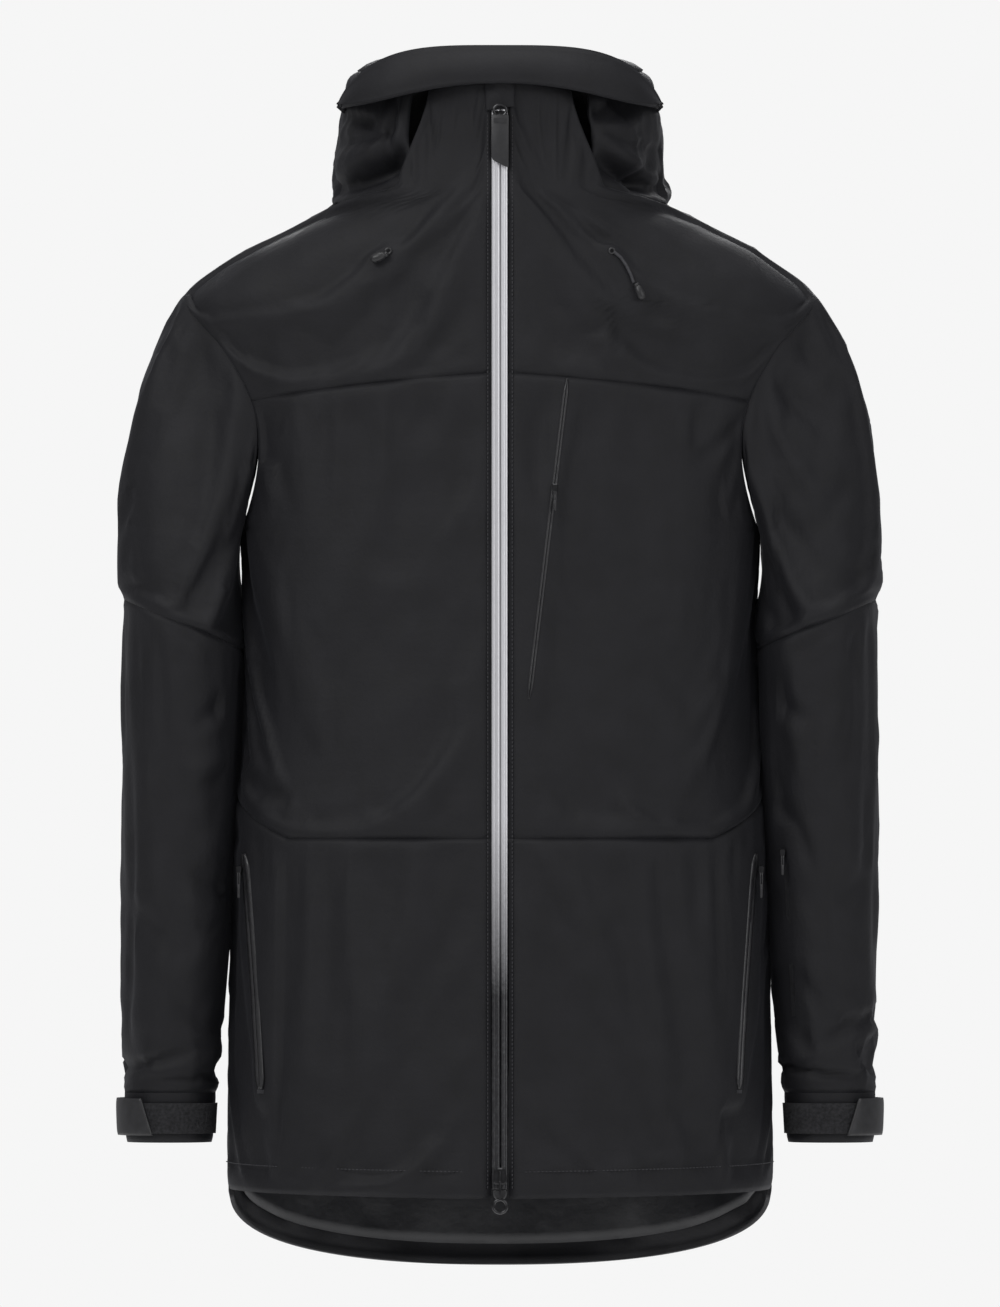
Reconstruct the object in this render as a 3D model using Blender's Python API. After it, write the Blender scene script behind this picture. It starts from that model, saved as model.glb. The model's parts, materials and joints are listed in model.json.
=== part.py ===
"""Insulated ski jacket, zipped shut, hanging from its loop. Front is -Y, the wearer's left is +X, up is +Z.

Heights below are measured from a level just above the back hem's lowest point; the whole jacket is
then lowered so that the hanger loop inside the back of the neck is the origin.
"""
import math

import bmesh
import bpy
from mathutils import Matrix, Vector

# Driving dimensions, metres
LOOP = (0.0, 0.086, 0.868)  # hanger loop, the part's origin
SHELL = 0.0050            # insulated shell thickness
LINING = 0.0020           # lining thickness
LINING_GAP = 0.0036       # shell to lining
LINING_INSET = SHELL + LINING_GAP
SHOULDER = (0.256, 0.008, 0.800)  # top of the left armhole, the shoulder joint
ELBOW = (0.264, 0.015, 0.510)     # left elbow
ZIP_HALF = 0.0068         # half width of the main zip's visible tape
TAPE = 0.0014             # tape thickness
COIL_HALF = 0.0036        # half width of the closed coil

# Torso: height, half width, back y. Its front is a straight line, so that the zip can run.
TORSO = [(-0.020, 0.227, 0.146), (0.140, 0.228, 0.146), (0.340, 0.2225, 0.142), (0.460, 0.2135, 0.138),
         (0.606, 0.2090, 0.135), (0.690, 0.232, 0.132), (0.758, 0.252, 0.122), (0.800, 0.264, 0.112),
         (0.835, 0.222, 0.106), (0.862, 0.172, 0.100), (0.880, 0.140, 0.098), (0.972, 0.100, 0.092)]
FRONT_FOOT, FRONT_LEAN = -0.1530, 0.0806  # front y at height 0, and how much it leans back per metre
# Sleeve below the armhole: height, centre |x|, centre y, half width, half depth
SLEEVE = [(0.560, 0.2645, 0.014, 0.0505, 0.078), (0.510, 0.2655, 0.015, 0.0500, 0.074),
          (0.340, 0.2705, 0.012, 0.0465, 0.064), (0.180, 0.2755, 0.006, 0.0415, 0.052),
          (0.130, 0.2760, 0.004, 0.0390, 0.046), (0.094, 0.2765, 0.003, 0.0375, 0.044)]
HOOD_WIDTH, HOOD_HEIGHT, HOOD_BASE = 0.1415, 0.127, 0.879  # arch of the hood seen from the front
HOOD_FRONT, HOOD_TURN = -0.072, 0.045     # y of its front edge, and where it starts to round to the back
ARMHOLE_TOP, ARMHOLE_FOOT = 0.800, 0.607
ROUND = 0.87              # roundness of the outlines: 1 is an ellipse, less is squarer
ARMHOLE_SPREAD = 31.0     # degrees of the torso's outline that half the armhole takes at its widest


def clear_scene():
    for old in list(bpy.data.objects):
        bpy.data.objects.remove(old, do_unlink=True)


clear_scene()
JACKET = bpy.data.collections.new("ski_jacket")
CUTTERS = bpy.data.collections.new("cutters")
for group in (JACKET, CUTTERS):
    bpy.context.scene.collection.children.link(group)


def material(name, colour, roughness, metallic=0.0):
    made = bpy.data.materials.new(name)
    made.use_nodes = True
    shader = made.node_tree.nodes["Principled BSDF"]
    shader.inputs["Base Color"].default_value = (*colour, 1.0)
    shader.inputs["Roughness"].default_value = roughness
    shader.inputs["Metallic"].default_value = metallic
    return made


FABRIC = material("shell_fabric", (0.012, 0.012, 0.015), 0.75)
SATIN = material("lining_satin", (0.010, 0.010, 0.012), 0.35)
COATED = material("zip_tape", (0.020, 0.020, 0.022), 0.25)
NYLON = material("zip_coil", (0.030, 0.030, 0.032), 0.40)
METAL = material("slider_metal", (0.030, 0.030, 0.032), 0.30, 0.9)
RUBBER = material("moulded_rubber", (0.015, 0.015, 0.016), 0.55)
HOOK = material("loop_fastener", (0.014, 0.014, 0.016), 0.95)


def lerp(a, b, t):
    return a + (b - a) * t


def table(rows, z):
    """The other values of a table at height z, joined smoothly between its rows (Catmull-Rom)."""
    rows = sorted(rows)
    if z <= rows[0][0]:
        return rows[0][1:]
    if z >= rows[-1][0]:
        return rows[-1][1:]
    k = max(i for i in range(len(rows) - 1) if rows[i][0] <= z)
    a, b = rows[k], rows[k + 1]
    before, after = rows[max(k - 1, 0)], rows[min(k + 2, len(rows) - 1)]
    span = b[0] - a[0]
    t = (z - a[0]) / span
    values = []
    for i in range(1, len(a)):
        slope_a = (b[i] - before[i]) / (b[0] - before[0]) * span
        slope_b = (after[i] - a[i]) / (after[0] - a[0]) * span
        value = (2 * t**3 - 3 * t**2 + 1) * a[i] + (t**3 - 2 * t**2 + t) * slope_a
        values.append(value + (3 * t**2 - 2 * t**3) * b[i] + (t**3 - t**2) * slope_b)
    return values


def front_line(z):
    return FRONT_FOOT + FRONT_LEAN * z


def outline(half, front, back, z, angle, inset):
    """Point of a rounded outline: angle 0 is +X, -90 the front, 90 the back."""
    middle, depth = (front + back) / 2, (back - front) / 2 - inset
    c, s = math.cos(math.radians(angle)), math.sin(math.radians(angle))
    x = (half - inset) * math.copysign(abs(c)**ROUND, c)
    return Vector((x, middle + depth * math.copysign(abs(s)**ROUND, s), z))


def torso_point(angle, z, inset=0.0):
    half, back = table(TORSO, z)
    return outline(half, front_line(z), back, z, angle, inset)


def torso_angle(x, z):
    """Angle at which the front of the torso has this x."""
    half = table(TORSO, z)[0]
    return -math.degrees(math.acos(max(-1.0, min(1.0, math.copysign(abs(x / half)**(1 / ROUND), x)))))


def armhole_angle(z):
    """Half of the outline that the armhole takes at height z, in degrees."""
    t = (z - ARMHOLE_FOOT) / (ARMHOLE_TOP - ARMHOLE_FOOT)
    return ARMHOLE_SPREAD * math.sqrt(math.sin(math.pi * t)) if 0 < t < 1 else 0.0


def finish(name, mesh_data, paint, pivot=(0, 0, 0)):
    """Make a named piece whose origin is at pivot."""
    piece = bpy.data.objects.new(name, mesh_data)
    mesh_data.transform(Matrix.Translation(-Vector(pivot)))
    mesh_data.materials.append(paint)
    mesh_data.shade_smooth()
    mesh_data.set_sharp_from_angle(angle=math.radians(35))
    JACKET.objects.link(piece)
    piece.location = pivot
    return piece


def slab(name, surface, columns, rows, thickness, paint, pivot=(0, 0, 0), closed=False):
    """A closed panel: surface(u, v, inset) over a grid, and the same grid inset by its thickness."""
    work = bmesh.new()
    across = columns if closed else columns + 1
    layers = []
    for inset in (0.0, thickness):
        grid = [[work.verts.new(surface(i / columns, j / rows, inset)) for i in range(across)]
                for j in range(rows + 1)]
        layers.append(grid)
    outer, inner = layers
    for j in range(rows):
        for i in range(columns):
            k = (i + 1) % across
            work.faces.new((outer[j][i], outer[j][k], outer[j + 1][k], outer[j + 1][i]))
            work.faces.new((inner[j][i], inner[j + 1][i], inner[j + 1][k], inner[j][k]))
    for i in range(columns):
        k = (i + 1) % across
        work.faces.new((outer[0][i], inner[0][i], inner[0][k], outer[0][k]))
        work.faces.new((outer[rows][i], outer[rows][k], inner[rows][k], inner[rows][i]))
    if not closed:
        for j in range(rows):
            work.faces.new((outer[j][0], outer[j + 1][0], inner[j + 1][0], inner[j][0]))
            work.faces.new((outer[j][columns], inner[j][columns], inner[j + 1][columns], outer[j + 1][columns]))
    bmesh.ops.recalc_face_normals(work, faces=work.faces)
    mesh_data = bpy.data.meshes.new(name)
    work.to_mesh(mesh_data)
    work.free()
    return finish(name, mesh_data, paint, pivot)


def block(name, size, centre, paint, turn=None, bevel=0.0, pivot=None):
    """A box with rounded edges, turned by a rotation matrix about its centre."""
    work = bmesh.new()
    bmesh.ops.create_cube(work, size=1.0)
    bmesh.ops.scale(work, vec=size, verts=work.verts)
    if bevel:
        bmesh.ops.bevel(work, geom=work.edges[:], offset=bevel, segments=1, affect="EDGES", profile=0.5)
    if turn:
        bmesh.ops.rotate(work, matrix=turn, verts=work.verts)
    bmesh.ops.translate(work, vec=centre, verts=work.verts)
    bmesh.ops.recalc_face_normals(work, faces=work.faces)
    mesh_data = bpy.data.meshes.new(name)
    work.to_mesh(mesh_data)
    work.free()
    return finish(name, mesh_data, paint, pivot or centre)


# Seam heights, each as (at the zip or the middle of the back, at the side)
HEM = (0.050, 0.054)
BACK_HEM = (-0.012, 0.048)
WAIST = (0.349, 0.388)
YOKE = (0.737, 0.713)
NECK = (0.880, 0.880)
SEAM = 0.0006             # half a seam gap
SEAM_ANGLE = 0.15         # half a seam gap in degrees round the torso
SKIRT = (0.150, 0.330)    # heights of the powder skirt's edges
SKIRT_INSET = 0.0160      # from the shell's face, and SKIRT_FLARE more at its foot
SKIRT_FLARE = 0.006
COLLAR_FOOT, COLLAR_TOP = 0.8815, 0.966
COLLAR_END_FOOT, COLLAR_END_TOP = 0.086, 0.064  # x where the collar's front goes under the hood
STAND_TOP, STAND_INSET = 0.925, 0.012           # the part of the collar behind the neck
LINING_FRONT = (0.064, 0.068)
LINING_BACK = (0.020, 0.068)
LINING_NECK = (0.872, 0.872)


WAIST_TURN = 0.55         # share of the way to the side where the waist seam starts to rise


def seam_height(seam, u):
    """Height of a seam u of the way from the zip, or from the middle of the back, to the side."""
    if seam is WAIST:
        u = max(u - WAIST_TURN, 0.0) / (1 - WAIST_TURN)
    elif seam is BACK_HEM:
        u = u * u
    return lerp(seam[0], seam[1], u)


def side_edge(z):
    """Outer edge of a front or back panel: the side seam, or the armhole's edge."""
    return max(armhole_angle(z), 0.0) + SEAM_ANGLE


def front_panel(name, side, low, high, columns, rows, depth=(0.0, SHELL), inner_x=ZIP_HALF + SEAM, paint=FABRIC):
    """A panel between the zip and the side seam, from one seam to the next. side is 1 for +X, -1 for -X."""
    def surface(u, v, inset):
        z = lerp(seam_height(low, u) + SEAM, seam_height(high, u) - SEAM, v)
        angle = lerp(torso_angle(inner_x, z), -side_edge(z), u)
        point = torso_point(angle, z, depth[0] + inset)
        return Vector((side * point.x, point.y, point.z))
    return slab(name, surface, columns, rows, depth[1], paint)


def back_panel(name, low, high, columns, rows, depth=(0.0, SHELL), paint=FABRIC):
    """A panel across the back, from side seam to side seam."""
    def surface(u, v, inset):
        out = abs(2 * u - 1)
        z = lerp(seam_height(low, out) + SEAM, seam_height(high, out) - SEAM, v)
        angle = lerp(side_edge(z), 180 - side_edge(z), u)
        return torso_point(angle, z, depth[0] + inset)
    return slab(name, surface, columns, rows, depth[1], paint)


def torso():
    for side, word in ((1, "left"), (-1, "right")):
        front_panel(f"lower_front_{word}", side, HEM, WAIST, 8, 3)
        front_panel(f"front_panel_{word}", side, WAIST, YOKE, 8, 8)
        front_panel(f"front_yoke_{word}", side, YOKE, NECK, 8, 7)
        front_panel(f"lining_front_{word}", side, LINING_FRONT, LINING_NECK, 8, 14, (LINING_INSET, LINING),
                    ZIP_HALF + 0.006, SATIN)
    back_panel("back_lower_panel", BACK_HEM, WAIST, 12, 4)
    back_panel("back_panel", WAIST, YOKE, 12, 8)
    back_panel("back_yoke", YOKE, NECK, 12, 7)
    back_panel("lining_back", LINING_BACK, LINING_NECK, 12, 14, (LINING_INSET, LINING), SATIN)

    def skirt(u, v, inset):
        flare = SKIRT_FLARE * (1 - v)
        return torso_point(360 * u, lerp(*SKIRT, v), SKIRT_INSET + flare + inset)
    slab("powder_skirt", skirt, 24, 3, LINING, SATIN, closed=True)


def collar():
    for side, word in ((1, "left"), (-1, "right")):
        def surface(u, v, inset):
            z = lerp(COLLAR_FOOT, COLLAR_TOP - 0.010 * u * u, v)
            x = lerp(ZIP_HALF + SEAM, lerp(COLLAR_END_FOOT, COLLAR_END_TOP, v), u)
            point = torso_point(torso_angle(x, z), z, inset)
            return Vector((side * point.x, point.y, point.z))
        slab(f"collar_{word}", surface, 5, 4, SHELL, FABRIC)

    def guard(u, v, inset):
        z = lerp(COLLAR_FOOT + 0.002, COLLAR_TOP - 0.004, v)
        x = lerp(0.0155, 0.050, u)
        return torso_point(torso_angle(x, z), z, LINING_INSET + inset)
    slab("chin_guard", guard, 3, 3, LINING, HOOK)

    def stand(u, v, inset):
        z = lerp(COLLAR_FOOT, STAND_TOP, v)
        half, back = table(TORSO, z)
        return outline(half - STAND_INSET, front_line(z), back - STAND_INSET, z, lerp(8, 172, u), inset)
    slab("collar_stand_back", stand, 12, 2, 0.003, SATIN)


LOOP_SPAN, LOOP_RISE, LOOP_WIRE = 0.030, 0.012, 0.0022  # half width, height and radius of the hanger loop


def hanger_loop():
    wire = bpy.data.curves.new("loop_line", "CURVE")
    wire.dimensions = "3D"
    wire.bevel_depth, wire.bevel_resolution, wire.use_fill_caps = LOOP_WIRE, 2, True
    spline = wire.splines.new("POLY")
    steps = 10
    spline.points.add(steps)
    for i in range(steps + 1):
        turn = math.pi * i / steps
        x = LOOP[0] + LOOP_SPAN * math.cos(turn)
        z = LOOP[2] - LOOP_RISE + LOOP_RISE * math.sin(turn)
        spline.points[i].co = (x, LOOP[1], z, 1)
    line = bpy.data.objects.new("loop_line", wire)
    CUTTERS.objects.link(line)
    bpy.context.view_layer.update()
    solid = bpy.data.meshes.new_from_object(line.evaluated_get(bpy.context.evaluated_depsgraph_get()))
    bpy.data.objects.remove(line)
    work = bmesh.new()
    work.from_mesh(solid)
    bmesh.ops.remove_doubles(work, verts=work.verts, dist=1e-5)
    bmesh.ops.recalc_face_normals(work, faces=work.faces)
    work.to_mesh(solid)
    work.free()
    solid.materials.clear()
    finish("hanger_loop", solid, SATIN)


def hood_point(around, along, inset=0.0):
    """Point of the hood. around goes in degrees over the arch, from the left side to the right one.
    along is 0 at the front edge, 0.4 where the back starts to round, and 1 at the back of the neck."""
    c, s = math.cos(math.radians(around)), math.sin(math.radians(around))
    x = (HOOD_WIDTH - inset) * math.copysign(abs(c)**0.55, c)
    rise = (HOOD_HEIGHT - inset) * abs(s)**0.62
    if along <= 0.4:
        y = lerp(HOOD_FRONT, HOOD_TURN, along / 0.4)
        return Vector((x, y, HOOD_BASE + rise))
    turn = math.radians(108 * (along - 0.4) / 0.6)
    y = HOOD_TURN + 0.95 * rise * math.sin(turn)
    z = HOOD_BASE + 0.004 + (rise - 0.004) * math.cos(turn)
    return Vector((x, y, z))


BRIM_FORWARD, BRIM_LEAN, BRIM_BULGE = 0.0165, 0.013, 0.0032
BRIM_LOW, BRIM_DROOP = 0.9775, 0.021      # height of its lower edge in the middle, and its fall to the ends
BRIM_THICKNESS = 0.0026


def hood():
    for name, first, last, columns in (("hood_side_left", 1.6, 57, 6), ("hood_centre", 57.5, 122.5, 6),
                                       ("hood_side_right", 123, 178.4, 6)):
        def surface(u, v, inset):
            return hood_point(lerp(first, last, u), lerp(0, 0.985, v), inset)
        slab(name, surface, columns, 9, SHELL, FABRIC)

    def lining(u, v, inset):
        return hood_point(lerp(3, 177, u), lerp(0.01, 0.97, v), LINING_INSET + inset)
    slab("hood_lining", lining, 16, 9, LINING, SATIN)

    def brim(u, v, inset):
        around = lerp(31, 149, u)
        top = hood_point(around, 0.0)
        low = BRIM_LOW - BRIM_DROOP * (2 * u - 1)**2
        z = lerp(low, top.z - 0.0005, v)
        bulge = math.sin(math.pi * min(v * 1.15, 1.0) / 2)
        y = HOOD_FRONT - BRIM_FORWARD + BRIM_BULGE * (1 - bulge) + BRIM_LEAN * v * v
        return Vector((lerp(top.x * 0.985, top.x, v), y + inset * 0.9, z))
    slab("hood_brim", brim, 14, 3, BRIM_THICKNESS, FABRIC)


ZIP_FOOT, ZIP_TOP = 0.058, 0.957
LEAN = math.atan(FRONT_LEAN)
TURN_TO_FRONT = Matrix.Rotation(-LEAN, 3, "X")


def on_zip(z, out):
    """Point in front of the zip's face at height z; out is along the face's outward normal."""
    return (0.0, front_line(z) - out * math.cos(LEAN), z)


TAPE_SINK, COIL_DEPTH = 0.0016, 0.0020    # of the tape's middle below the front, and of the coil behind it
ZIP_GAP = 0.0003          # between the two tapes, half of it


def main_zip():
    middle = (ZIP_FOOT + ZIP_TOP) / 2
    length = (ZIP_TOP - ZIP_FOOT) / math.cos(LEAN)
    for side, word in ((1, "left"), (-1, "right")):
        _, y, z = on_zip(middle, -TAPE_SINK)
        width = ZIP_HALF - ZIP_GAP
        size = (width - ZIP_GAP, TAPE, length)
        block(f"zip_tape_{word}", size, (side * (width + ZIP_GAP) / 2, y, z), COATED, TURN_TO_FRONT)
        _, y, z = on_zip(middle, -TAPE_SINK - TAPE - 0.0008)
        size = (COIL_HALF - ZIP_GAP, COIL_DEPTH, length - 0.004)
        block(f"zip_coil_{word}", size, (side * (COIL_HALF + ZIP_GAP) / 2, y, z), NYLON, TURN_TO_FRONT)
    _, y, z = on_zip(0.967, 0.0008)
    block("zip_garage", (0.0130, 0.0030, 0.016), (0.0, y, z), FABRIC, TURN_TO_FRONT, 0.0006)
    _, y, z = on_zip(0.0535, -0.0012)
    block("zip_end_box", (0.0120, 0.0030, 0.0070), (0.0, y, z), NYLON, TURN_TO_FRONT, 0.0005)


def slider(name, centre, size, paint=METAL, turn=TURN_TO_FRONT):
    return block(name, size, centre, paint, turn, min(size) * 0.28)


def hanging_tag(name, top, size, paint):
    """A flat puller that hangs from top, its hinge."""
    centre = (top[0], top[1], top[2] - size[2] / 2 + 0.0006)
    return block(name, size, centre, paint, None, min(size) * 0.25, pivot=top)


MAIN_SLIDER = (0.0105, 0.0032, 0.0130)
SLIDER_OUT, HINGE_OUT = 0.0022, 0.0036    # slider's centre in front of the zip, and the puller's hinge from there


def main_sliders():
    x, y, z = on_zip(0.9480, SLIDER_OUT)
    slider("main_slider", (x, y, z), MAIN_SLIDER)
    hanging_tag("main_puller", (x, y - HINGE_OUT, 0.9570), (0.0125, 0.0020, 0.0470), RUBBER)
    x, y, z = on_zip(0.0690, SLIDER_OUT)
    slider("bottom_slider", (x, y, z), MAIN_SLIDER)
    hanging_tag("bottom_puller", (x, y - HINGE_OUT, 0.0610), (0.0100, 0.0020, 0.0200), METAL)


def surface_strip(name, top, foot, half_width, lift, thickness, paint, rows=6):
    """A pocket zip's tape on the torso's front, straight from top to foot, each as (x, height)."""
    side = 1 if top[0] > 0 else -1

    def surface(u, v, inset):
        z = lerp(foot[1], top[1], v)
        x = abs(lerp(foot[0], top[0], v)) + lerp(half_width, -half_width, u)
        point = torso_point(torso_angle(x, z), z, -lift - thickness + inset)
        return Vector((side * point.x, point.y, point.z))
    return slab(name, surface, 1, rows, thickness, paint)


def on_front(x, z, out):
    point = torso_point(torso_angle(abs(x), z), z, -out)
    return (math.copysign(point.x, x), point.y, z)


CHEST_ZIP = ((0.0560, 0.7320), (0.0240, 0.4650))
HAND_ZIP = ((0.2130, 0.3360), (0.1985, 0.1400))
STRIP_LIFT, STRIP = 0.0004, 0.0010        # a pocket zip's tape: above the fabric, and its thickness


def pockets():
    surface_strip("chest_zip_tape", *CHEST_ZIP, 0.0026, STRIP_LIFT, STRIP, COATED, 8)
    t = (0.640 - CHEST_ZIP[1][1]) / (CHEST_ZIP[0][1] - CHEST_ZIP[1][1])
    x = lerp(CHEST_ZIP[1][0], CHEST_ZIP[0][0], t)
    place = on_front(x, 0.640, 0.0038)
    slider("chest_slider", place, (0.0050, 0.0026, 0.0085))
    hanging_tag("chest_puller", (place[0], place[1] - 0.0036, 0.6365), (0.0034, 0.0020, 0.0150), RUBBER)
    for side, word in ((1, "left"), (-1, "right")):
        top, foot = [(side * x, z) for x, z in HAND_ZIP]
        surface_strip(f"hand_zip_tape_{word}", top, foot, 0.0030, STRIP_LIFT, STRIP, COATED)
        t = (0.322 - foot[1]) / (top[1] - foot[1])
        place = Vector(on_front(lerp(foot[0], top[0], t), 0.322, 0.0064))
        slider(f"hand_slider_{word}", place, (0.0050, 0.0050, 0.0080))
        hinge = (place.x, place.y - 0.0046, 0.3185)
        hanging_tag(f"hand_puller_{word}", hinge, (0.0036, 0.0020, 0.0200), RUBBER)


def sleeve_outline(turn, z, inset=0.0):
    """Point round the sleeve: turn 0 is outside, -90 the front, 180 the side next to the torso."""
    x, y, half, depth = table(SLEEVE, z)
    c, s = math.cos(math.radians(turn)), math.sin(math.radians(turn))
    return Vector((x + (half - inset) * math.copysign(abs(c)**0.9, c),
                   y + (depth - inset) * math.copysign(abs(s)**0.9, s), z))


def armhole_point(turn):
    """Point of the armhole's loop, just outside the torso's panels."""
    c, s = math.cos(math.radians(turn)), math.sin(math.radians(turn))
    z = lerp(ARMHOLE_FOOT, ARMHOLE_TOP, (1 + c) / 2)
    spread = max(armhole_angle(z) - 0.9, 0.0) * (1 if s > 0 else -1)
    return torso_point(spread, z) + Vector((0.0022 if c > -0.7 else 0.0032, 0, 0))


def upper_sleeve_point(turn, down, inset=0.0):
    """Point of the upper sleeve: down is 0 at the armhole and 1 at the elbow seam."""
    start, end = armhole_point(turn), sleeve_outline(turn, elbow_seam(turn) + SEAM)
    c = math.cos(math.radians(turn))
    reach = (start - end).length
    leave = Vector((lerp(0.35, 0.62, (1 + c) / 2), 0.0, -0.75)) * reach * 1.1
    arrive = Vector((0.0, 0.0, -1.0)) * reach
    t = down
    point = (2 * t**3 - 3 * t**2 + 1) * start + (t**3 - 2 * t**2 + t) * leave
    point += (3 * t**2 - 2 * t**3) * end + (t**3 - t**2) * arrive
    if inset:
        centre = (upper_sleeve_point(0, down) + upper_sleeve_point(180, down)) / 2
        inward = centre - point
        inward.z *= 0.3
        point = point + inward.normalized() * inset
    return point


def elbow_seam(turn):
    return lerp(0.506, 0.548, (1 + math.cos(math.radians(turn))) / 2)


CUFF_TOP, CUFF_FOOT = 0.1360, 0.0945


def sleeves():
    for side, word in ((1, "left"), (-1, "right")):
        def mirrored(point):
            return Vector((side * point.x, point.y, point.z))

        for node, first, thickness, paint in ((f"upper_sleeve_{word}", 0.0, SHELL, FABRIC),
                                              (f"upper_sleeve_lining_{word}", LINING_INSET, LINING, SATIN)):
            def upper(u, v, inset):
                start = 0.02 if first else 0.0
                return mirrored(upper_sleeve_point(360 * u, lerp(start, 1, 1 - v), first + inset))
            slab(node, upper, 20, 6, thickness, paint, SHOULDER_PIVOTS[side], closed=True)

        def lower(u, v, inset):
            z = lerp(CUFF_TOP + SEAM, elbow_seam(360 * u) - SEAM, v)
            return mirrored(sleeve_outline(360 * u, z, inset))
        slab(f"lower_sleeve_{word}", lower, 20, 6, SHELL, FABRIC, ELBOW_PIVOTS[side], closed=True)

        def cuff(u, v, inset):
            return mirrored(sleeve_outline(360 * u, lerp(CUFF_FOOT, CUFF_TOP - SEAM, v), 0.0012 + inset))
        slab(f"cuff_{word}", cuff, 20, 2, 0.0035, FABRIC, ELBOW_PIVOTS[side], closed=True)

        def patch(u, v, inset):
            turn = lerp(-166, -48 + 10 * v, u)
            return mirrored(sleeve_outline(turn, lerp(0.1030, 0.1270, v), -0.0022 + inset))
        slab(f"cuff_patch_{word}", patch, 8, 1, 0.0018, HOOK, ELBOW_PIVOTS[side])

        def tab(u, v, inset):
            turn = lerp(-72 + 12 * v, 40, u)
            return mirrored(sleeve_outline(turn, lerp(0.1010, 0.1310, v), -0.0052 + inset))
        slab(f"cuff_tab_{word}", tab, 8, 1, 0.0020, RUBBER, TAB_PIVOTS[side])


def at_side(side, point):
    return (side * point[0], point[1], point[2])


SHOULDER_PIVOTS = {side: at_side(side, SHOULDER) for side in (1, -1)}
ELBOW_PIVOTS = {side: at_side(side, (ELBOW[0], ELBOW[1] - 0.0730, ELBOW[2])) for side in (1, -1)}
TAB_PIVOTS = {side: at_side(side, sleeve_outline(42, 0.116, -0.0046)) for side in (1, -1)}


def sleeve_pocket():
    """Pass pocket on the front of the left forearm."""
    turn = -131

    def strip(u, v, inset):
        return sleeve_outline(lerp(turn - 2.6, turn + 2.6, u), lerp(0.200, 0.352, v), -STRIP_LIFT - STRIP + inset)
    slab("sleeve_zip_tape", strip, 1, 6, STRIP, COATED, ELBOW_PIVOTS[1])
    place = sleeve_outline(turn, 0.336, -0.0045)
    slider("sleeve_slider", place, (0.0050, 0.0046, 0.0080), turn=None)
    hanging_tag("sleeve_puller", (place.x, place.y - 0.0044, 0.3325), (0.0034, 0.0020, 0.0150), RUBBER)


def cord_end(name, start, end, width):
    """A moulded cord end from start to end, with its origin where the cord enters it."""
    start, end = Vector(start), Vector(end)
    along = end - start
    work = bmesh.new()
    bmesh.ops.create_cone(work, cap_ends=True, segments=12, radius1=width * 0.30, radius2=width * 0.5,
                          depth=along.length)
    turn = Vector((0, 0, 1)).rotation_difference(along).to_matrix()
    bmesh.ops.rotate(work, matrix=turn, verts=work.verts)
    bmesh.ops.translate(work, vec=(start + end) / 2, verts=work.verts)
    mesh_data = bpy.data.meshes.new(name)
    work.to_mesh(mesh_data)
    work.free()
    return finish(name, mesh_data, RUBBER, start)


# Drawcord of the hood on the wearer's left: its route on the chest, as (x, height), from the eyelet down
CORD_ROUTE = [(0.0937, 0.8378), (0.0995, 0.8330), (0.1040, 0.8265), (0.1075, 0.8195), (0.1102, 0.8120)]
CORD_DIAMETER, CORD_LIFT = 0.0028, 0.0026


def drawcords():
    line = bpy.data.curves.new("drawcord_line", "CURVE")
    line.dimensions = "3D"
    line.bevel_depth, line.bevel_resolution, line.use_fill_caps = CORD_DIAMETER / 2, 2, True
    spline = line.splines.new("POLY")
    spline.points.add(len(CORD_ROUTE) - 1)
    for point, (x, z) in zip(spline.points, CORD_ROUTE):
        point.co = (*on_front(x, z, CORD_LIFT), 1)
    line.materials.append(NYLON)
    JACKET.objects.link(bpy.data.objects.new("drawcord_left", line))
    cord_end("cord_end_left", on_front(0.1110, 0.8112, 0.0052), on_front(0.1170, 0.7980, 0.0052), 0.0076)
    cord_end("cord_end_right", on_front(-0.0915, 0.8362, 0.0052), on_front(-0.1050, 0.8310, 0.0052), 0.0076)


torso()
collar()
hanger_loop()
hood()
main_zip()
main_sliders()
pockets()
sleeves()
sleeve_pocket()
drawcords()

# Lower the finished jacket so that its loop is the origin
lowered = bpy.data.objects.new("loop_origin", None)
JACKET.objects.link(lowered)
lowered.location = (-LOOP[0], -LOOP[1], -LOOP[2])
for piece in list(JACKET.objects):
    if piece != lowered:
        piece.parent = lowered
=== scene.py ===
"""Looks of the insulated ski jacket: fabric panels, hood, zips, trims and materials round the CAD frame."""
import json
import math

import bmesh
import bpy
from mathutils import Matrix, Vector, noise

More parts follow.
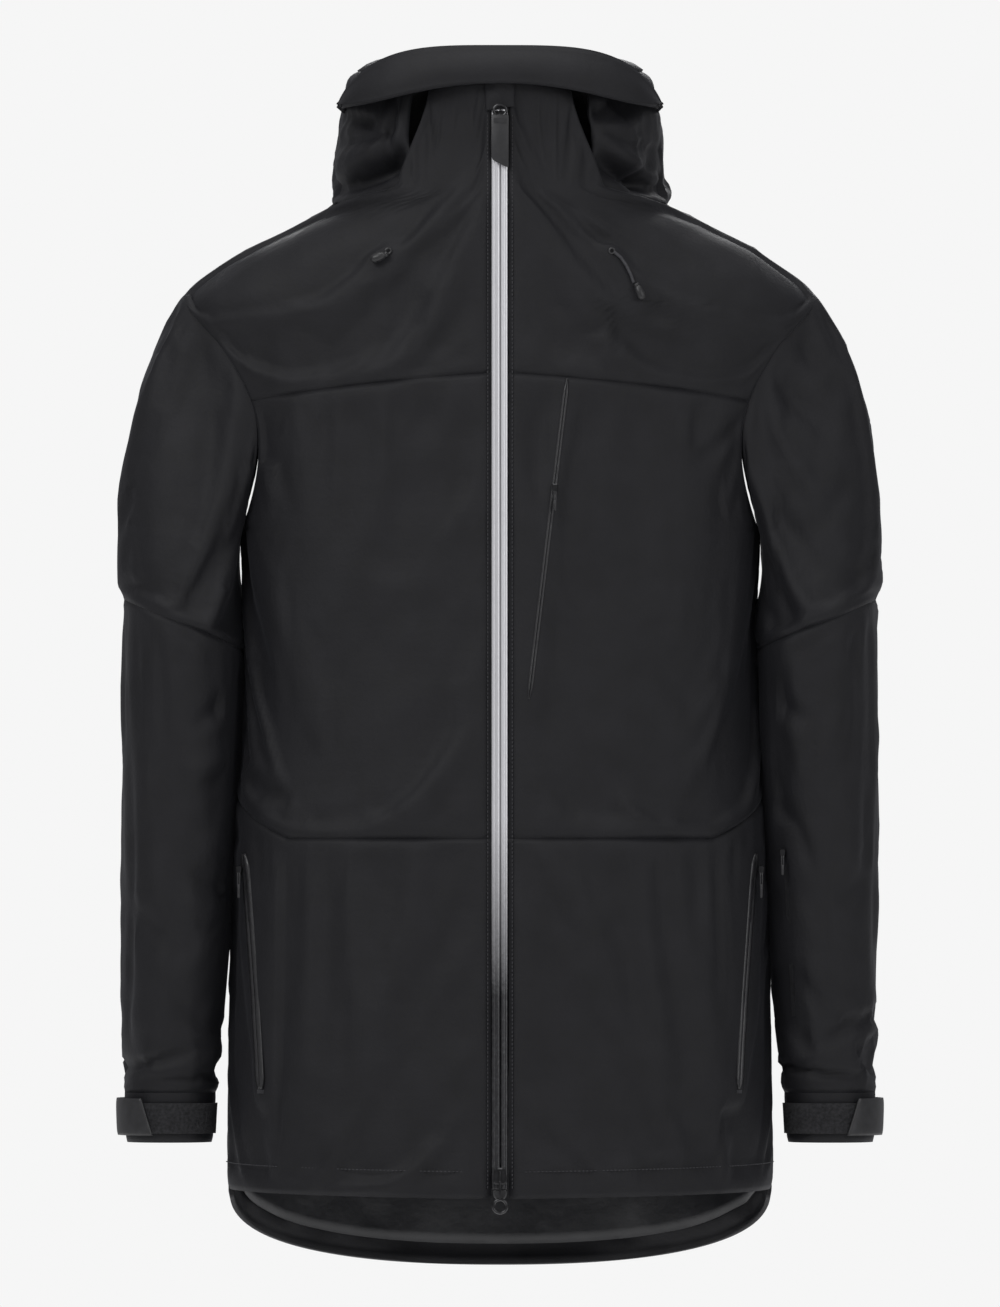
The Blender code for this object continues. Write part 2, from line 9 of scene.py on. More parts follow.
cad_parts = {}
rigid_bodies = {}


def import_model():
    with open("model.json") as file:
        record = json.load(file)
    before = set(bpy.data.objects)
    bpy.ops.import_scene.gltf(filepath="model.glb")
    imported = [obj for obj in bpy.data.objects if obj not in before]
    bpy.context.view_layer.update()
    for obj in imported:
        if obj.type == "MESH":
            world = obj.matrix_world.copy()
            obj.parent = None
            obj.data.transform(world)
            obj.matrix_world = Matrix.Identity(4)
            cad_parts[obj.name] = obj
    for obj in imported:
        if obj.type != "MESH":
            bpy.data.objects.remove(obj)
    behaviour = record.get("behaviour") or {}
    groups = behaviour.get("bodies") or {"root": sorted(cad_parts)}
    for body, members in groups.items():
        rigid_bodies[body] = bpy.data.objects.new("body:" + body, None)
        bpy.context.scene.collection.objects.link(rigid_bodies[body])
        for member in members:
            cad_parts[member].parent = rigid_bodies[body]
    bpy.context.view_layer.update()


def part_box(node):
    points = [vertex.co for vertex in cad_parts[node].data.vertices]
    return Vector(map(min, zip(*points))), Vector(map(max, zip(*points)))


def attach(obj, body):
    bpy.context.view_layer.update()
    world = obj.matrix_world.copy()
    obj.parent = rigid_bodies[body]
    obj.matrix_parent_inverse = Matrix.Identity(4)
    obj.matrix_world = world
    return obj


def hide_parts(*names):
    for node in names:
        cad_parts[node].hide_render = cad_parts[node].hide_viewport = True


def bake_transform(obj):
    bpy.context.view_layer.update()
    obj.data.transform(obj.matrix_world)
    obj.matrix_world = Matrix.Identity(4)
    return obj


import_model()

# Heights are design heights, counted from just above the back hem; LOOP is where the frame's origin lies there.
# Torso: height, half width, back y. Sleeve: height, centre |x|, centre y, half width, half depth.
LOOP = Vector((0.0, 0.086, 0.868))
TORSO = [(-0.020, 0.227, 0.146), (0.140, 0.228, 0.146), (0.340, 0.2240, 0.142), (0.460, 0.2170, 0.138),
         (0.606, 0.2175, 0.135), (0.690, 0.232, 0.132), (0.758, 0.254, 0.122), (0.800, 0.266, 0.112),
         (0.835, 0.224, 0.106), (0.862, 0.172, 0.100), (0.880, 0.140, 0.098), (0.972, 0.100, 0.092)]
SLEEVE = [(0.560, 0.2625, 0.014, 0.0535, 0.079), (0.510, 0.2645, 0.015, 0.0515, 0.075),
          (0.340, 0.2697, 0.012, 0.0478, 0.065), (0.180, 0.2753, 0.006, 0.0418, 0.053),
          (0.130, 0.2760, 0.004, 0.0390, 0.046), (0.094, 0.2765, 0.003, 0.0375, 0.044)]
FRONT_FOOT, FRONT_LEAN = -0.1530, 0.0806     # front y at height 0, and how much it leans back per metre
LEAN = math.atan(FRONT_LEAN)
TURN_TO_FRONT = Matrix.Rotation(-LEAN, 3, "X")
ROUND, SLEEVE_ROUND = 0.87, 0.9              # of the outlines: 1 is an ellipse, less is squarer
ARMHOLE_TOP, ARMHOLE_FOOT, ARMHOLE_SPREAD = 0.800, 0.607, 31.0
HOOD_WIDTH, HOOD_HEIGHT, HOOD_BASE = 0.1415, 0.1262, 0.879
HOOD_FRONT, HOOD_BACK = -0.077, 0.158
ZIP_HALF = 0.0068
# Seam heights, each at the zip or the middle of the back, and at the side
HEM, BACK_HEM, WAIST, YOKE = (0.050, 0.056), (-0.012, 0.050), (0.349, 0.388), (0.737, 0.713)
CUFF_FOOT, CUFF_TOP = 0.0945, 0.1360
SEAM = 0.0006             # half a seam gap
PANEL, LINING = 0.0035, 0.0010               # thickness of the shell panels and of the linings
LINING_INSET = 0.0088     # from the shell's face to a lining's
SIDES = ((1, "left"), (-1, "right"))         # the wearer's
FRONT_LIMIT = 0.02        # y behind which the front view's folds and trims don't reach
CELL = 0.0045   # grid of the fabric that the front shows
BACK_CELL = 0.0065


def lerp(a, b, t):
    return a + (b - a) * t


def smooth(t):
    t = min(max(t, 0.0), 1.0)
    return t * t * (3.0 - 2.0 * t)


def bell(distance, width):
    return math.exp(-(distance / width)**2)


def cos_sin(angle):
    return math.cos(math.radians(angle)), math.sin(math.radians(angle))


def signed_power(value, power):
    return math.copysign(abs(value)**power, value)


def curve_weights(t):
    """Weights of a cubic's start, slope at the start, end and slope at the end."""
    return 2 * t**3 - 3 * t**2 + 1, t**3 - 2 * t**2 + t, 3 * t**2 - 2 * t**3, t**3 - t**2


def table(rows, z):
    """The other values of a table at height z, joined smoothly between its rows (Catmull-Rom)."""
    rows = sorted(rows)
    if z <= rows[0][0]:
        return rows[0][1:]
    if z >= rows[-1][0]:
        return rows[-1][1:]
    k = max(i for i in range(len(rows) - 1) if rows[i][0] <= z)
    a, b = rows[k], rows[k + 1]
    before, after = rows[max(k - 1, 0)], rows[min(k + 2, len(rows) - 1)]
    span = b[0] - a[0]
    start, leave, end, arrive = curve_weights((z - a[0]) / span)
    values = []
    for i in range(1, len(a)):
        slope_a = (b[i] - before[i]) / (b[0] - before[0]) * span
        slope_b = (after[i] - a[i]) / (after[0] - a[0]) * span
        values.append(start * a[i] + leave * slope_a + end * b[i] + arrive * slope_b)
    return values


def mirrored(side, point):
    """The point itself on side 1, the wearer's left, and its mirror image on side -1."""
    return Vector((side * point.x, point.y, point.z))


def front_line(z):
    return FRONT_FOOT + FRONT_LEAN * z


def outline(half, front, back, z, angle, inset=0.0):
    """Point of a rounded outline: angle 0 is +X, -90 the front, 90 the back."""
    middle, depth = (front + back) / 2, (back - front) / 2 - inset
    c, s = cos_sin(angle)
    return Vector(((half - inset) * signed_power(c, ROUND), middle + depth * signed_power(s, ROUND), z))


def torso_point(angle, z, inset=0.0):
    half, back = table(TORSO, z)
    return outline(half, front_line(z), back, z, angle, inset)


def torso_angle(x, z):
    """Angle at which the front of the torso has this x."""
    half = table(TORSO, z)[0]
    return -math.degrees(math.acos(max(-1.0, min(1.0, signed_power(x / half, 1 / ROUND)))))


def on_front(x, z, out):
    point = torso_point(torso_angle(abs(x), z), z, -out)
    return Vector((math.copysign(point.x, x), point.y, z))


def armhole_angle(z):
    t = (z - ARMHOLE_FOOT) / (ARMHOLE_TOP - ARMHOLE_FOOT)
    return ARMHOLE_SPREAD * math.sqrt(math.sin(math.pi * t)) if 0 < t < 1 else 0.0


def sleeve_outline(turn, z, inset=0.0):
    """Point round the sleeve: turn 0 is outside, -90 the front, 180 the side next to the torso."""
    x, y, half, depth = table(SLEEVE, z)
    c, s = cos_sin(turn)
    return Vector((x + (half - inset) * signed_power(c, SLEEVE_ROUND),
                   y + (depth - inset) * signed_power(s, SLEEVE_ROUND), z))


def elbow_seam(turn):
    return lerp(0.506, 0.548, (1 + math.cos(math.radians(turn))) / 2)


def armhole_point(turn):
    c, s = cos_sin(turn)
    z = lerp(ARMHOLE_FOOT, ARMHOLE_TOP, (1 + c) / 2)
    spread = max(armhole_angle(z) - 0.4, 0.0) * (1 if s > 0 else -1)
    return torso_point(spread, z) + Vector((0.0008, 0, 0))


def upper_sleeve_point(turn, down):
    """Point of the upper sleeve: down is 0 at the armhole and 1 at the elbow seam."""
    start, end = armhole_point(turn), sleeve_outline(turn, elbow_seam(turn))
    reach = (start - end).length
    outward = lerp(0.35, 0.62, (1 + cos_sin(turn)[0]) / 2)
    leave = Vector((outward, 0.0, -0.75)) * reach * 1.1
    weights = curve_weights(down)
    point = weights[0] * start + weights[1] * leave + weights[2] * end
    return point + weights[3] * Vector((0.0, 0.0, -1.0)) * reach


HOOD_RISE_POWER, HOOD_SHARE_POWER = 3.6, 0.15


def hood_ring(rise, angle):
    """Point of the hood on the ring at this share of its height."""
    share = max(1 - rise**HOOD_RISE_POWER, 0.0)**HOOD_SHARE_POWER
    middle = (HOOD_FRONT + HOOD_BACK) / 2 + 0.012 * rise
    depth = (HOOD_BACK - HOOD_FRONT) / 2 * share
    c, s = cos_sin(angle)
    x = HOOD_WIDTH * share * signed_power(c, ROUND)
    sag = 0.020 * smooth((s - 0.2) / 0.8) * (1 - rise)
    return Vector((x, middle + depth * signed_power(s, ROUND), HOOD_BASE + HOOD_HEIGHT * rise - sag))


# Folds, as (x, z) from and to, half width, height: ridges are positive and creases negative.
# Each list is for one region of the jacket as the front shows it.
TORSO_FOLDS = [
    ((-0.085, 0.845), (-0.060, 0.700), 0.012, -0.0030), ((-0.070, 0.850), (-0.045, 0.760), 0.010, 0.0022),
    ((0.100, 0.838), (0.050, 0.770), 0.014, 0.0024), ((0.065, 0.870), (0.115, 0.838), 0.007, -0.0030),
    ((0.060, 0.880), (0.105, 0.852), 0.006, 0.0028), ((-0.200, 0.745), (-0.190, 0.600), 0.012, -0.0040),
    ((0.205, 0.700), (0.165, 0.665), 0.007, -0.0035), ((0.205, 0.730), (0.150, 0.700), 0.007, -0.0025),
    ((0.213, 0.560), (0.185, 0.640), 0.012, -0.0040), ((-0.210, 0.600), (-0.175, 0.520), 0.016, 0.0035),
    ((-0.213, 0.500), (-0.195, 0.395), 0.010, -0.0040), ((0.213, 0.470), (0.196, 0.390), 0.010, -0.0040),
    ((-0.060, 0.500), (-0.130, 0.400), 0.030, 0.0025), ((0.060, 0.480), (0.130, 0.400), 0.030, 0.0025),
    ((-0.150, 0.640), (-0.080, 0.560), 0.030, -0.0025), ((0.150, 0.600), (0.080, 0.540), 0.030, -0.0025),
    ((-0.170, 0.330), (-0.185, 0.100), 0.020, -0.0030), ((0.150, 0.320), (0.165, 0.120), 0.022, -0.0030),
    ((-0.090, 0.320), (-0.100, 0.090), 0.035, 0.0035), ((0.080, 0.320), (0.095, 0.090), 0.035, 0.0035)]
SLEEVE_FOLDS = {
    -1: [((-0.235, 0.600), (-0.262, 0.540), 0.007, -0.0060), ((-0.225, 0.585), (-0.246, 0.520), 0.006, 0.0050),
         ((-0.300, 0.545), (-0.240, 0.505), 0.006, -0.0035), ((-0.218, 0.470), (-0.262, 0.440), 0.008, -0.0050),
         ((-0.222, 0.420), (-0.262, 0.405), 0.009, 0.0040), ((-0.228, 0.300), (-0.270, 0.330), 0.010, -0.0040),
         ((-0.312, 0.300), (-0.270, 0.260), 0.010, -0.0035), ((-0.232, 0.190), (-0.275, 0.215), 0.009, -0.0045),
         ((-0.312, 0.160), (-0.255, 0.176), 0.007, -0.0040), ((-0.245, 0.150), (-0.300, 0.146), 0.005, -0.0035),
         ((-0.280, 0.760), (-0.300, 0.600), 0.018, 0.0035), ((-0.245, 0.740), (-0.240, 0.640), 0.012, -0.0045)],
    1: [((0.232, 0.735), (0.275, 0.690), 0.008, -0.0080), ((0.240, 0.770), (0.285, 0.735), 0.008, -0.0045),
        ((0.225, 0.700), (0.262, 0.640), 0.009, 0.0060), ((0.217, 0.650), (0.262, 0.575), 0.008, -0.0070),
        ((0.305, 0.660), (0.262, 0.600), 0.010, -0.0040), ((0.222, 0.600), (0.245, 0.520), 0.008, -0.0050),
        ((0.315, 0.550), (0.245, 0.502), 0.006, -0.0035), ((0.222, 0.470), (0.270, 0.440), 0.009, -0.0050),
        ((0.300, 0.480), (0.262, 0.405), 0.010, 0.0040), ((0.228, 0.390), (0.262, 0.330), 0.009, -0.0050),
        ((0.314, 0.330), (0.272, 0.290), 0.012, -0.0040), ((0.234, 0.240), (0.290, 0.200), 0.009, -0.0045),
        ((0.314, 0.205), (0.265, 0.180), 0.008, -0.0040), ((0.240, 0.160), (0.300, 0.150), 0.006, -0.0040)]}
HOOD_FOLDS = [
    ((-0.142, 0.930), (-0.085, 0.942), 0.0035, -0.0030), ((0.142, 0.926), (0.070, 0.942), 0.0035, -0.0030),
    ((-0.135, 0.895), (-0.062, 0.926), 0.010, -0.0200), ((-0.140, 0.912), (-0.080, 0.936), 0.009, 0.0085),
    ((-0.100, 0.910), (-0.088, 0.960), 0.006, -0.0060), ((-0.085, 0.935), (-0.078, 0.970), 0.005, 0.0060),
    ((0.140, 0.893), (0.085, 0.915), 0.010, -0.0220), ((0.130, 0.905), (0.080, 0.930), 0.008, 0.0090),
    ((0.115, 0.890), (0.132, 0.920), 0.007, -0.0120), ((0.060, 0.947), (0.085, 0.958), 0.006, -0.0110),
    ((0.075, 0.935), (0.118, 0.950), 0.009, 0.0070), ((-0.140, 0.955), (-0.100, 0.945), 0.006, -0.0040)]


def gap_to_line(x, z, start, end):
    """Distance in the front view from a place to a straight line, and how far along the line that is."""
    (x0, z0), (x1, z1) = start, end
    along_x, along_z = x1 - x0, z1 - z0
    t = ((x - x0) * along_x + (z - z0) * along_z) / (along_x**2 + along_z**2)
    t = min(max(t, 0.0), 1.0)
    return math.hypot(x - x0 - t * along_x, z - z0 - t * along_z), t


def stroke_height(x, z, strokes):
    """Sum of the folds at a place: each fades towards both of its ends."""
    total = 0.0
    for start, end, width, height in strokes:
        gap, t = gap_to_line(x, z, start, end)
        if gap <= 3 * width:
            total += height * bell(gap, width) * math.sin(math.pi * (0.12 + 0.76 * t))
    return total


def rumple(point, size, depth, seed):
    """Soft uneven swells of padded cloth."""
    where = Vector((point.x / size + seed, point.y / size, point.z / size))
    return depth * (noise.noise(where) + 0.45 * noise.noise(where * 2.3))


def cloth_creases(point, size, depth, seed):
    """Fine slack wrinkles: ridged noise, stretched along the cloth."""
    where = Vector((point.x / size + seed, point.y / size, point.z / (2.2 * size)))
    return depth * (0.35 - abs(noise.noise(where)) * 1.4)


# Upper and lower end, as (x, z), of the pocket zips, the cord with its end, and the other cord's end
CHEST_ZIP = ((0.0560, 0.7320), (0.0240, 0.4650))
HAND_ZIP = ((0.2130, 0.3360), (0.1985, 0.1400))
SLEEVE_ZIP = ((0.2410, 0.3520), (0.2490, 0.2000))
CORD_LINE = ((0.0937, 0.8378), (0.1170, 0.7980))
RIGHT_END = ((-0.0915, 0.8362), (-0.1050, 0.8310))
TRIM_LINES = (CHEST_ZIP, HAND_ZIP, tuple((-x, z) for x, z in HAND_ZIP), SLEEVE_ZIP, CORD_LINE, RIGHT_END)


SEAM_HOLD = 0.030         # how far a seam holds the cloth flat
SEAM_ROLL, RELIEF_FADE = 0.0032, 0.009       # widths at a seam over which the cloth rolls in and its folds fade
HELD_RELIEF = 0.25        # share of the folds left where a zip or cord holds the cloth
TORSO_SLACK, SLEEVE_SLACK, HOOD_SLACK = 0.022, 0.018, 0.040   # extra cloth between the seams, as a share
SETTLE_FRAMES = 14        # few, so that the cloth buckles but hardly sags
MOST_SINK, MOST_SWELL, MOST_SLIDE = 0.0050, 0.0032, 0.003     # limits to a vertex's move in, out and sideways


def free_cloth(point):
    """0 where a zip or a cord lies on the cloth and holds it, 1 away from them."""
    if point.y > FRONT_LIMIT:
        return 1.0
    gap = min(gap_to_line(point.x, point.z, *ends)[0] for ends in TRIM_LINES)
    return smooth((gap - 0.004) / 0.014)


def object_of(name, work, paint):
    """The smooth object of a finished bmesh."""
    mesh = bpy.data.meshes.new(name)
    work.to_mesh(mesh)
    work.free()
    mesh.shade_smooth()
    mesh.materials.append(paint)
    piece = bpy.data.objects.new(name, mesh)
    bpy.context.scene.collection.objects.link(piece)
    return piece


def grid_piece(name, surface, width, length, cell, relief, thickness, body, paint, replaced=(),
               closed=False, edges="uv", roll=0.0016, slack=0.0):
    """A fabric panel: surface(u, v) raised by relief(point) along its normal, rolled in at its seams.
    edges names the directions, u or v, whose edges roll in, and thickness is the panel's own."""
    columns, rows = max(6, round(width / cell)), max(4, round(length / cell))
    across = columns if closed else columns + 1
    points = [[surface(i / columns, j / rows) for i in range(across)] for j in range(rows + 1)]
    work = bmesh.new()
    verts, give = [], []
    for j in range(rows + 1):
        line = []
        for i in range(across):
            left = points[j][i - 1 if (closed or i > 0) else i]
            right = points[j][(i + 1) % across if closed else min(i + 1, columns)]
            under, over = points[max(j - 1, 0)][i], points[min(j + 1, rows)][i]
            normal = (right - left).cross(over - under)
            normal.normalize()
            here = points[j][i]
            near = []
            if "u" in edges and not closed:
                near.append(min(i, columns - i) / columns * width)
            if "v" in edges:
                near.append(min(j, rows - j) / rows * length)
            edge = min(near) if near else 1.0
            puff = 1 - math.exp(-edge / SEAM_ROLL)
            drop = roll * (1 - puff)
            free = free_cloth(here)
            lift = relief(here) * lerp(HELD_RELIEF, 1.0, free)
            if near:
                lift *= smooth(edge / RELIEF_FADE)
            give.append(free * smooth(edge / SEAM_HOLD))
            line.append(work.verts.new(here + normal * (lift - drop) - LOOP))
        verts.append(line)
    for j in range(rows):
        for i in range(columns):
            k = (i + 1) % across
            work.faces.new((verts[j][i], verts[j][k], verts[j + 1][k], verts[j + 1][i]))
    piece = object_of(name, work, paint)
    if slack:
        sewn = [i + across * j for j in range(rows + 1) for i in range(across)
                if j in (0, rows) or (not closed and i in (0, columns))]
        settle(piece, sewn, give, slack)
    shell = piece.modifiers.new("thickness", "SOLIDIFY")
    shell.thickness, shell.offset = thickness, -1.0
    dress(piece, body, replaced)
    return piece


def settle(piece, sewn, give, slack):
    """Let slack cloth buckle under its own weight between its sewn edges, and keep the result in the mesh.
    give is how far each vertex may move, from 0 to 1."""
    group = piece.vertex_groups.new(name="sewn")
    group.add(sewn, 1.0, "REPLACE")
    cloth = piece.modifiers.new("settle", "CLOTH")
    settings = cloth.settings
    settings.quality = 5
    settings.mass = 0.15
    settings.tension_stiffness = settings.compression_stiffness = 18.0
    settings.shear_stiffness, settings.bending_stiffness = 8.0, 0.6
    settings.shrink_min = settings.shrink_max = -slack
    settings.use_pressure = True
    settings.uniform_pressure_force = 0.6
    settings.vertex_group_mass = "sewn"
    settings.effector_weights.gravity = 0.25
    cloth.collision_settings.use_collision = False
    scene = bpy.context.scene
    for frame_number in range(1, SETTLE_FRAMES + 1):
        scene.frame_set(frame_number)
    solved = piece.evaluated_get(bpy.context.evaluated_depsgraph_get()).data
    before = [v.co.copy() for v in piece.data.vertices]
    normals = [v.normal.copy() for v in piece.data.vertices]
    after = [v.co.copy() for v in solved.vertices]
    piece.modifiers.remove(cloth)
    piece.vertex_groups.clear()
    for vert, old, normal, new, share in zip(piece.data.vertices, before, normals, after, give):
        move = (new - old) * share
        out = min(max(move.dot(normal), -MOST_SINK), MOST_SWELL)
        along = move - normal * move.dot(normal)
        if along.length > MOST_SLIDE:
            along *= MOST_SLIDE / along.length
        vert.co = old + normal * out + along
    scene.frame_set(1)


def dress(piece, body, replaced=()):
    """Put a piece on its body, in place of the CAD nodes it stands for."""
    if body:
        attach(piece, body)
    if replaced:
        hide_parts(*replaced)


# Materials


def shader_of(name, colour, roughness, metallic=0.0):
    paint = bpy.data.materials.new(name)
    paint.use_nodes = True
    shader = paint.node_tree.nodes["Principled BSDF"]
    shader.inputs["Base Color"].default_value = (*colour, 1.0)
    shader.inputs["Roughness"].default_value = roughness
    shader.inputs["Metallic"].default_value = metallic
    return paint, paint.node_tree.nodes, paint.node_tree.links, shader


def noise_texture(nodes, links, place, scale, detail=2.0):
    grain = nodes.new("ShaderNodeTexNoise")
    grain.inputs["Scale"].default_value = scale
    grain.inputs["Detail"].default_value = detail
    links.new(place.outputs["Object"], grain.inputs["Vector"])
    return grain.outputs["Fac"]


def bump(nodes, links, height, strength, depth):
    made = nodes.new("ShaderNodeBump")
    made.inputs["Strength"].default_value = strength
    made.inputs["Distance"].default_value = depth
    links.new(height, made.inputs["Height"])
    return made


def mottled(nodes, links, shader, dark, light, scale):
    """Uneven colour over the cloth: two tones mixed by noise."""
    place = nodes.new("ShaderNodeTexCoord")
    ramp = nodes.new("ShaderNodeValToRGB")
    ramp.color_ramp.elements[0].position, ramp.color_ramp.elements[1].position = 0.3, 0.7
    ramp.color_ramp.elements[0].color = (*dark, 1.0)
    ramp.color_ramp.elements[1].color = (*light, 1.0)
    links.new(noise_texture(nodes, links, place, scale, 6.0), ramp.inputs["Fac"])
    links.new(ramp.outputs["Color"], shader.inputs["Base Color"])
    return place


def weave_bump(nodes, links, shader, place, pitch, depth, grain_scale, grain_depth):
    """Plain weave of threads at this pitch, over a fine grain, as a bump."""
    height = nodes.new("ShaderNodeMath")
    height.operation = "ADD"
    for k, axis in enumerate("XZ"):
        threads = nodes.new("ShaderNodeTexWave")
        threads.bands_direction = axis
        threads.inputs["Scale"].default_value = 0.314 / pitch
        threads.inputs["Distortion"].default_value = 0.6
        links.new(place.outputs["Object"], threads.inputs["Vector"])
        links.new(threads.outputs["Fac"], height.inputs[k])
    first = bump(nodes, links, height.outputs["Value"], 0.5, depth)
    second = bump(nodes, links, noise_texture(nodes, links, place, grain_scale, 4.0), 0.6, grain_depth)
    links.new(first.outputs["Normal"], second.inputs["Normal"])
    links.new(second.outputs["Normal"], shader.inputs["Normal"])


def shell_fabric():
    paint, nodes, links, shader = shader_of("shell_fabric", (0.012, 0.012, 0.015), 0.62)
    place = mottled(nodes, links, shader, (0.0052, 0.0052, 0.0066), (0.0078, 0.0078, 0.0098), 38.0)
    weave_bump(nodes, links, shader, place, 0.0009, 0.00012, 260.0, 0.0005)
    shader.inputs["Sheen Weight"].default_value = 0.035
    shader.inputs["Sheen Roughness"].default_value = 0.45
    shader.inputs["Sheen Tint"].default_value = (0.80, 0.82, 0.92, 1.0)
    shader.inputs["Specular IOR Level"].default_value = 0.30
    return paint


def lining_satin():
    paint, nodes, links, shader = shader_of("lining_satin", (0.010, 0.010, 0.012), 0.34)
    place = mottled(nodes, links, shader, (0.0080, 0.0082, 0.0100), (0.0125, 0.0130, 0.0150), 60.0)
    weave_bump(nodes, links, shader, place, 0.0005, 0.00005, 42.0, 0.0016)
    shader.inputs["Anisotropic"].default_value = 0.4
    return paint


def zip_tape_painted_highlight():
    """Glossy coated tape with a painted highlight: base colour silvery over the chest and black near the hem,
    by height, standing in for the light the tape reflects.
    """
    paint, nodes, links, shader = shader_of("zip_tape", (0.30, 0.30, 0.31), 0.30, 0.35)
    place = nodes.new("ShaderNodeTexCoord")
    split = nodes.new("ShaderNodeSeparateXYZ")
    # Painted highlight: object height maps the colour from black near the hem to silver over the chest, and
    # noise breaks up the edge.
    along = nodes.new("ShaderNodeMapRange")
    along.inputs["From Min"].default_value, along.inputs["From Max"].default_value = -0.650, -0.500
    mix = nodes.new("ShaderNodeMath")
    mix.operation = "MULTIPLY_ADD"
    mix.inputs[1].default_value, mix.inputs[2].default_value = 0.22, -0.11
    total = nodes.new("ShaderNodeMath")
    ramp = nodes.new("ShaderNodeValToRGB")
    ramp.color_ramp.elements[0].color = (0.018, 0.018, 0.020, 1.0)
    ramp.color_ramp.elements[1].color = (0.62, 0.62, 0.64, 1.0)
    links.new(place.outputs["Object"], split.inputs["Vector"])
    links.new(split.outputs["Z"], along.inputs["Value"])
    links.new(noise_texture(nodes, links, place, 420.0), mix.inputs[0])
    links.new(along.outputs["Result"], total.inputs[0])
    links.new(mix.outputs["Value"], total.inputs[1])
    links.new(total.outputs["Value"], ramp.inputs["Fac"])
    links.new(ramp.outputs["Color"], shader.inputs["Base Color"])
    shader.inputs["Coat Weight"].default_value = 0.5
    shader.inputs["Coat Roughness"].default_value = 0.15
    return paint


def grained(name, dark, light, roughness, metallic, scale, depth):
    """Moulded or cast finish: two close tones and a fine grain."""
    paint, nodes, links, shader = shader_of(name, light, roughness, metallic)
    place = mottled(nodes, links, shader, dark, light, scale)
    grain = bump(nodes, links, noise_texture(nodes, links, place, scale * 9), 0.5, depth)
    links.new(grain.outputs["Normal"], shader.inputs["Normal"])
    return paint


SHELL = shell_fabric()
SATIN = lining_satin()
TAPE = zip_tape_painted_highlight()
POCKET_TAPE = grained("pocket_zip_tape", (0.012, 0.012, 0.013), (0.024, 0.024, 0.026), 0.28, 0.0, 300.0, 0.0001)
COIL = grained("zip_coil", (0.02, 0.02, 0.021), (0.04, 0.04, 0.042), 0.4, 0.0, 200.0, 0.0001)
METAL = grained("slider_metal", (0.018, 0.018, 0.019), (0.035, 0.035, 0.037), 0.3, 0.7, 240.0, 0.00008)
RUBBER = grained("moulded_rubber", (0.013, 0.013, 0.014), (0.022, 0.022, 0.024), 0.42, 0.0, 180.0, 0.0001)
THREAD = grained("thread", (0.020, 0.020, 0.023), (0.040, 0.040, 0.045), 0.55, 0.0, 500.0, 0.0001)
FUZZ = grained("loop_fastener", (0.005, 0.005, 0.006), (0.026, 0.026, 0.029), 0.95, 0.0, 420.0, 0.0012)


# Fabric panels

WAIST_TURN = 0.55         # share of the way to the side where the waist seam starts to rise


def seam_height(seam, u):
    """Height of a seam u of the way from the zip, or from the middle of the back, to the side."""
    if seam is WAIST:
        u = max(u - WAIST_TURN, 0.0) / (1 - WAIST_TURN)
    elif seam is BACK_HEM:
        u = u * u
    return lerp(seam[0], seam[1], u)


def torso_relief(point):
    if point.y < FRONT_LIMIT:
        lift = stroke_height(point.x, point.z, TORSO_FOLDS)
    else:
        lift = cloth_creases(point, 0.055, 0.0035, 9.0)
    lift += rumple(point, 0.075, 0.0026, 3.0) + cloth_creases(point, 0.030, 0.0010, 5.0)
    beside_sleeve = abs(point.x) > 0.185 and point.z < 0.66
    return max(lift, -0.0004) if beside_sleeve else lift


def armhole_edge(z):
    return armhole_angle(z) + 0.1


def torso_panels():
    for side, word in SIDES:
        def front(low, high):
            def surface(u, v):
                across = u if side > 0 else 1 - u
                z = lerp(seam_height(low, across), seam_height(high, across), v)
                point = torso_point(lerp(torso_angle(ZIP_HALF + SEAM, z), -armhole_edge(z), across), z)
                return mirrored(side, point)
            return surface

        grid_piece(f"lower_front_panel_{word}", front(HEM, WAIST), 0.26, 0.31, CELL, torso_relief, PANEL,
                   "shell", SHELL, (f"lower_front_{word}",), slack=0.020)
        grid_piece(f"chest_panel_{word}", front(WAIST, YOKE), 0.24, 0.38, CELL, torso_relief, PANEL, "shell",
                   SHELL, (f"front_panel_{word}",), slack=TORSO_SLACK)

        def yoke_edge(z):
            neck = smooth((z - 0.872) / 0.022)
            collar = -torso_angle(lerp(0.088, 0.060, smooth((z - 0.88) / 0.10)), z)
            return lerp(armhole_edge(z), collar, neck)

        def yoke_surface(u, v):
            across = u if side > 0 else 1 - u
            z = lerp(seam_height(YOKE, across), 0.984 - 0.012 * across**2, v)
            point = torso_point(lerp(torso_angle(ZIP_HALF + SEAM, z), -yoke_edge(z), across), z)
            return mirrored(side, point)
        grid_piece(f"yoke_and_collar_{word}", yoke_surface, 0.24, 0.25, CELL * 0.85, torso_relief, PANEL,
                   "shell", SHELL, (f"front_yoke_{word}", f"collar_{word}"), slack=TORSO_SLACK)

    def back(low, high):
        def surface(u, v):
            out = abs(2 * u - 1)
            z = lerp(seam_height(low, out), seam_height(high, out), v)
            return torso_point(lerp(armhole_edge(z), 180 - armhole_edge(z), u), z)
        return surface
    for name, low, high, length, node in (
            ("lower_back_panel", BACK_HEM, WAIST, 0.34, "back_lower_panel"),
            ("back_body_panel", WAIST, YOKE, 0.38, "back_panel"),
            ("back_yoke_panel", YOKE, (0.882, 0.882), 0.16, "back_yoke")):
        grid_piece(name, back(low, high), 0.50, length, BACK_CELL, torso_relief, PANEL, "shell", SHELL, (node,),
                   slack=TORSO_SLACK)


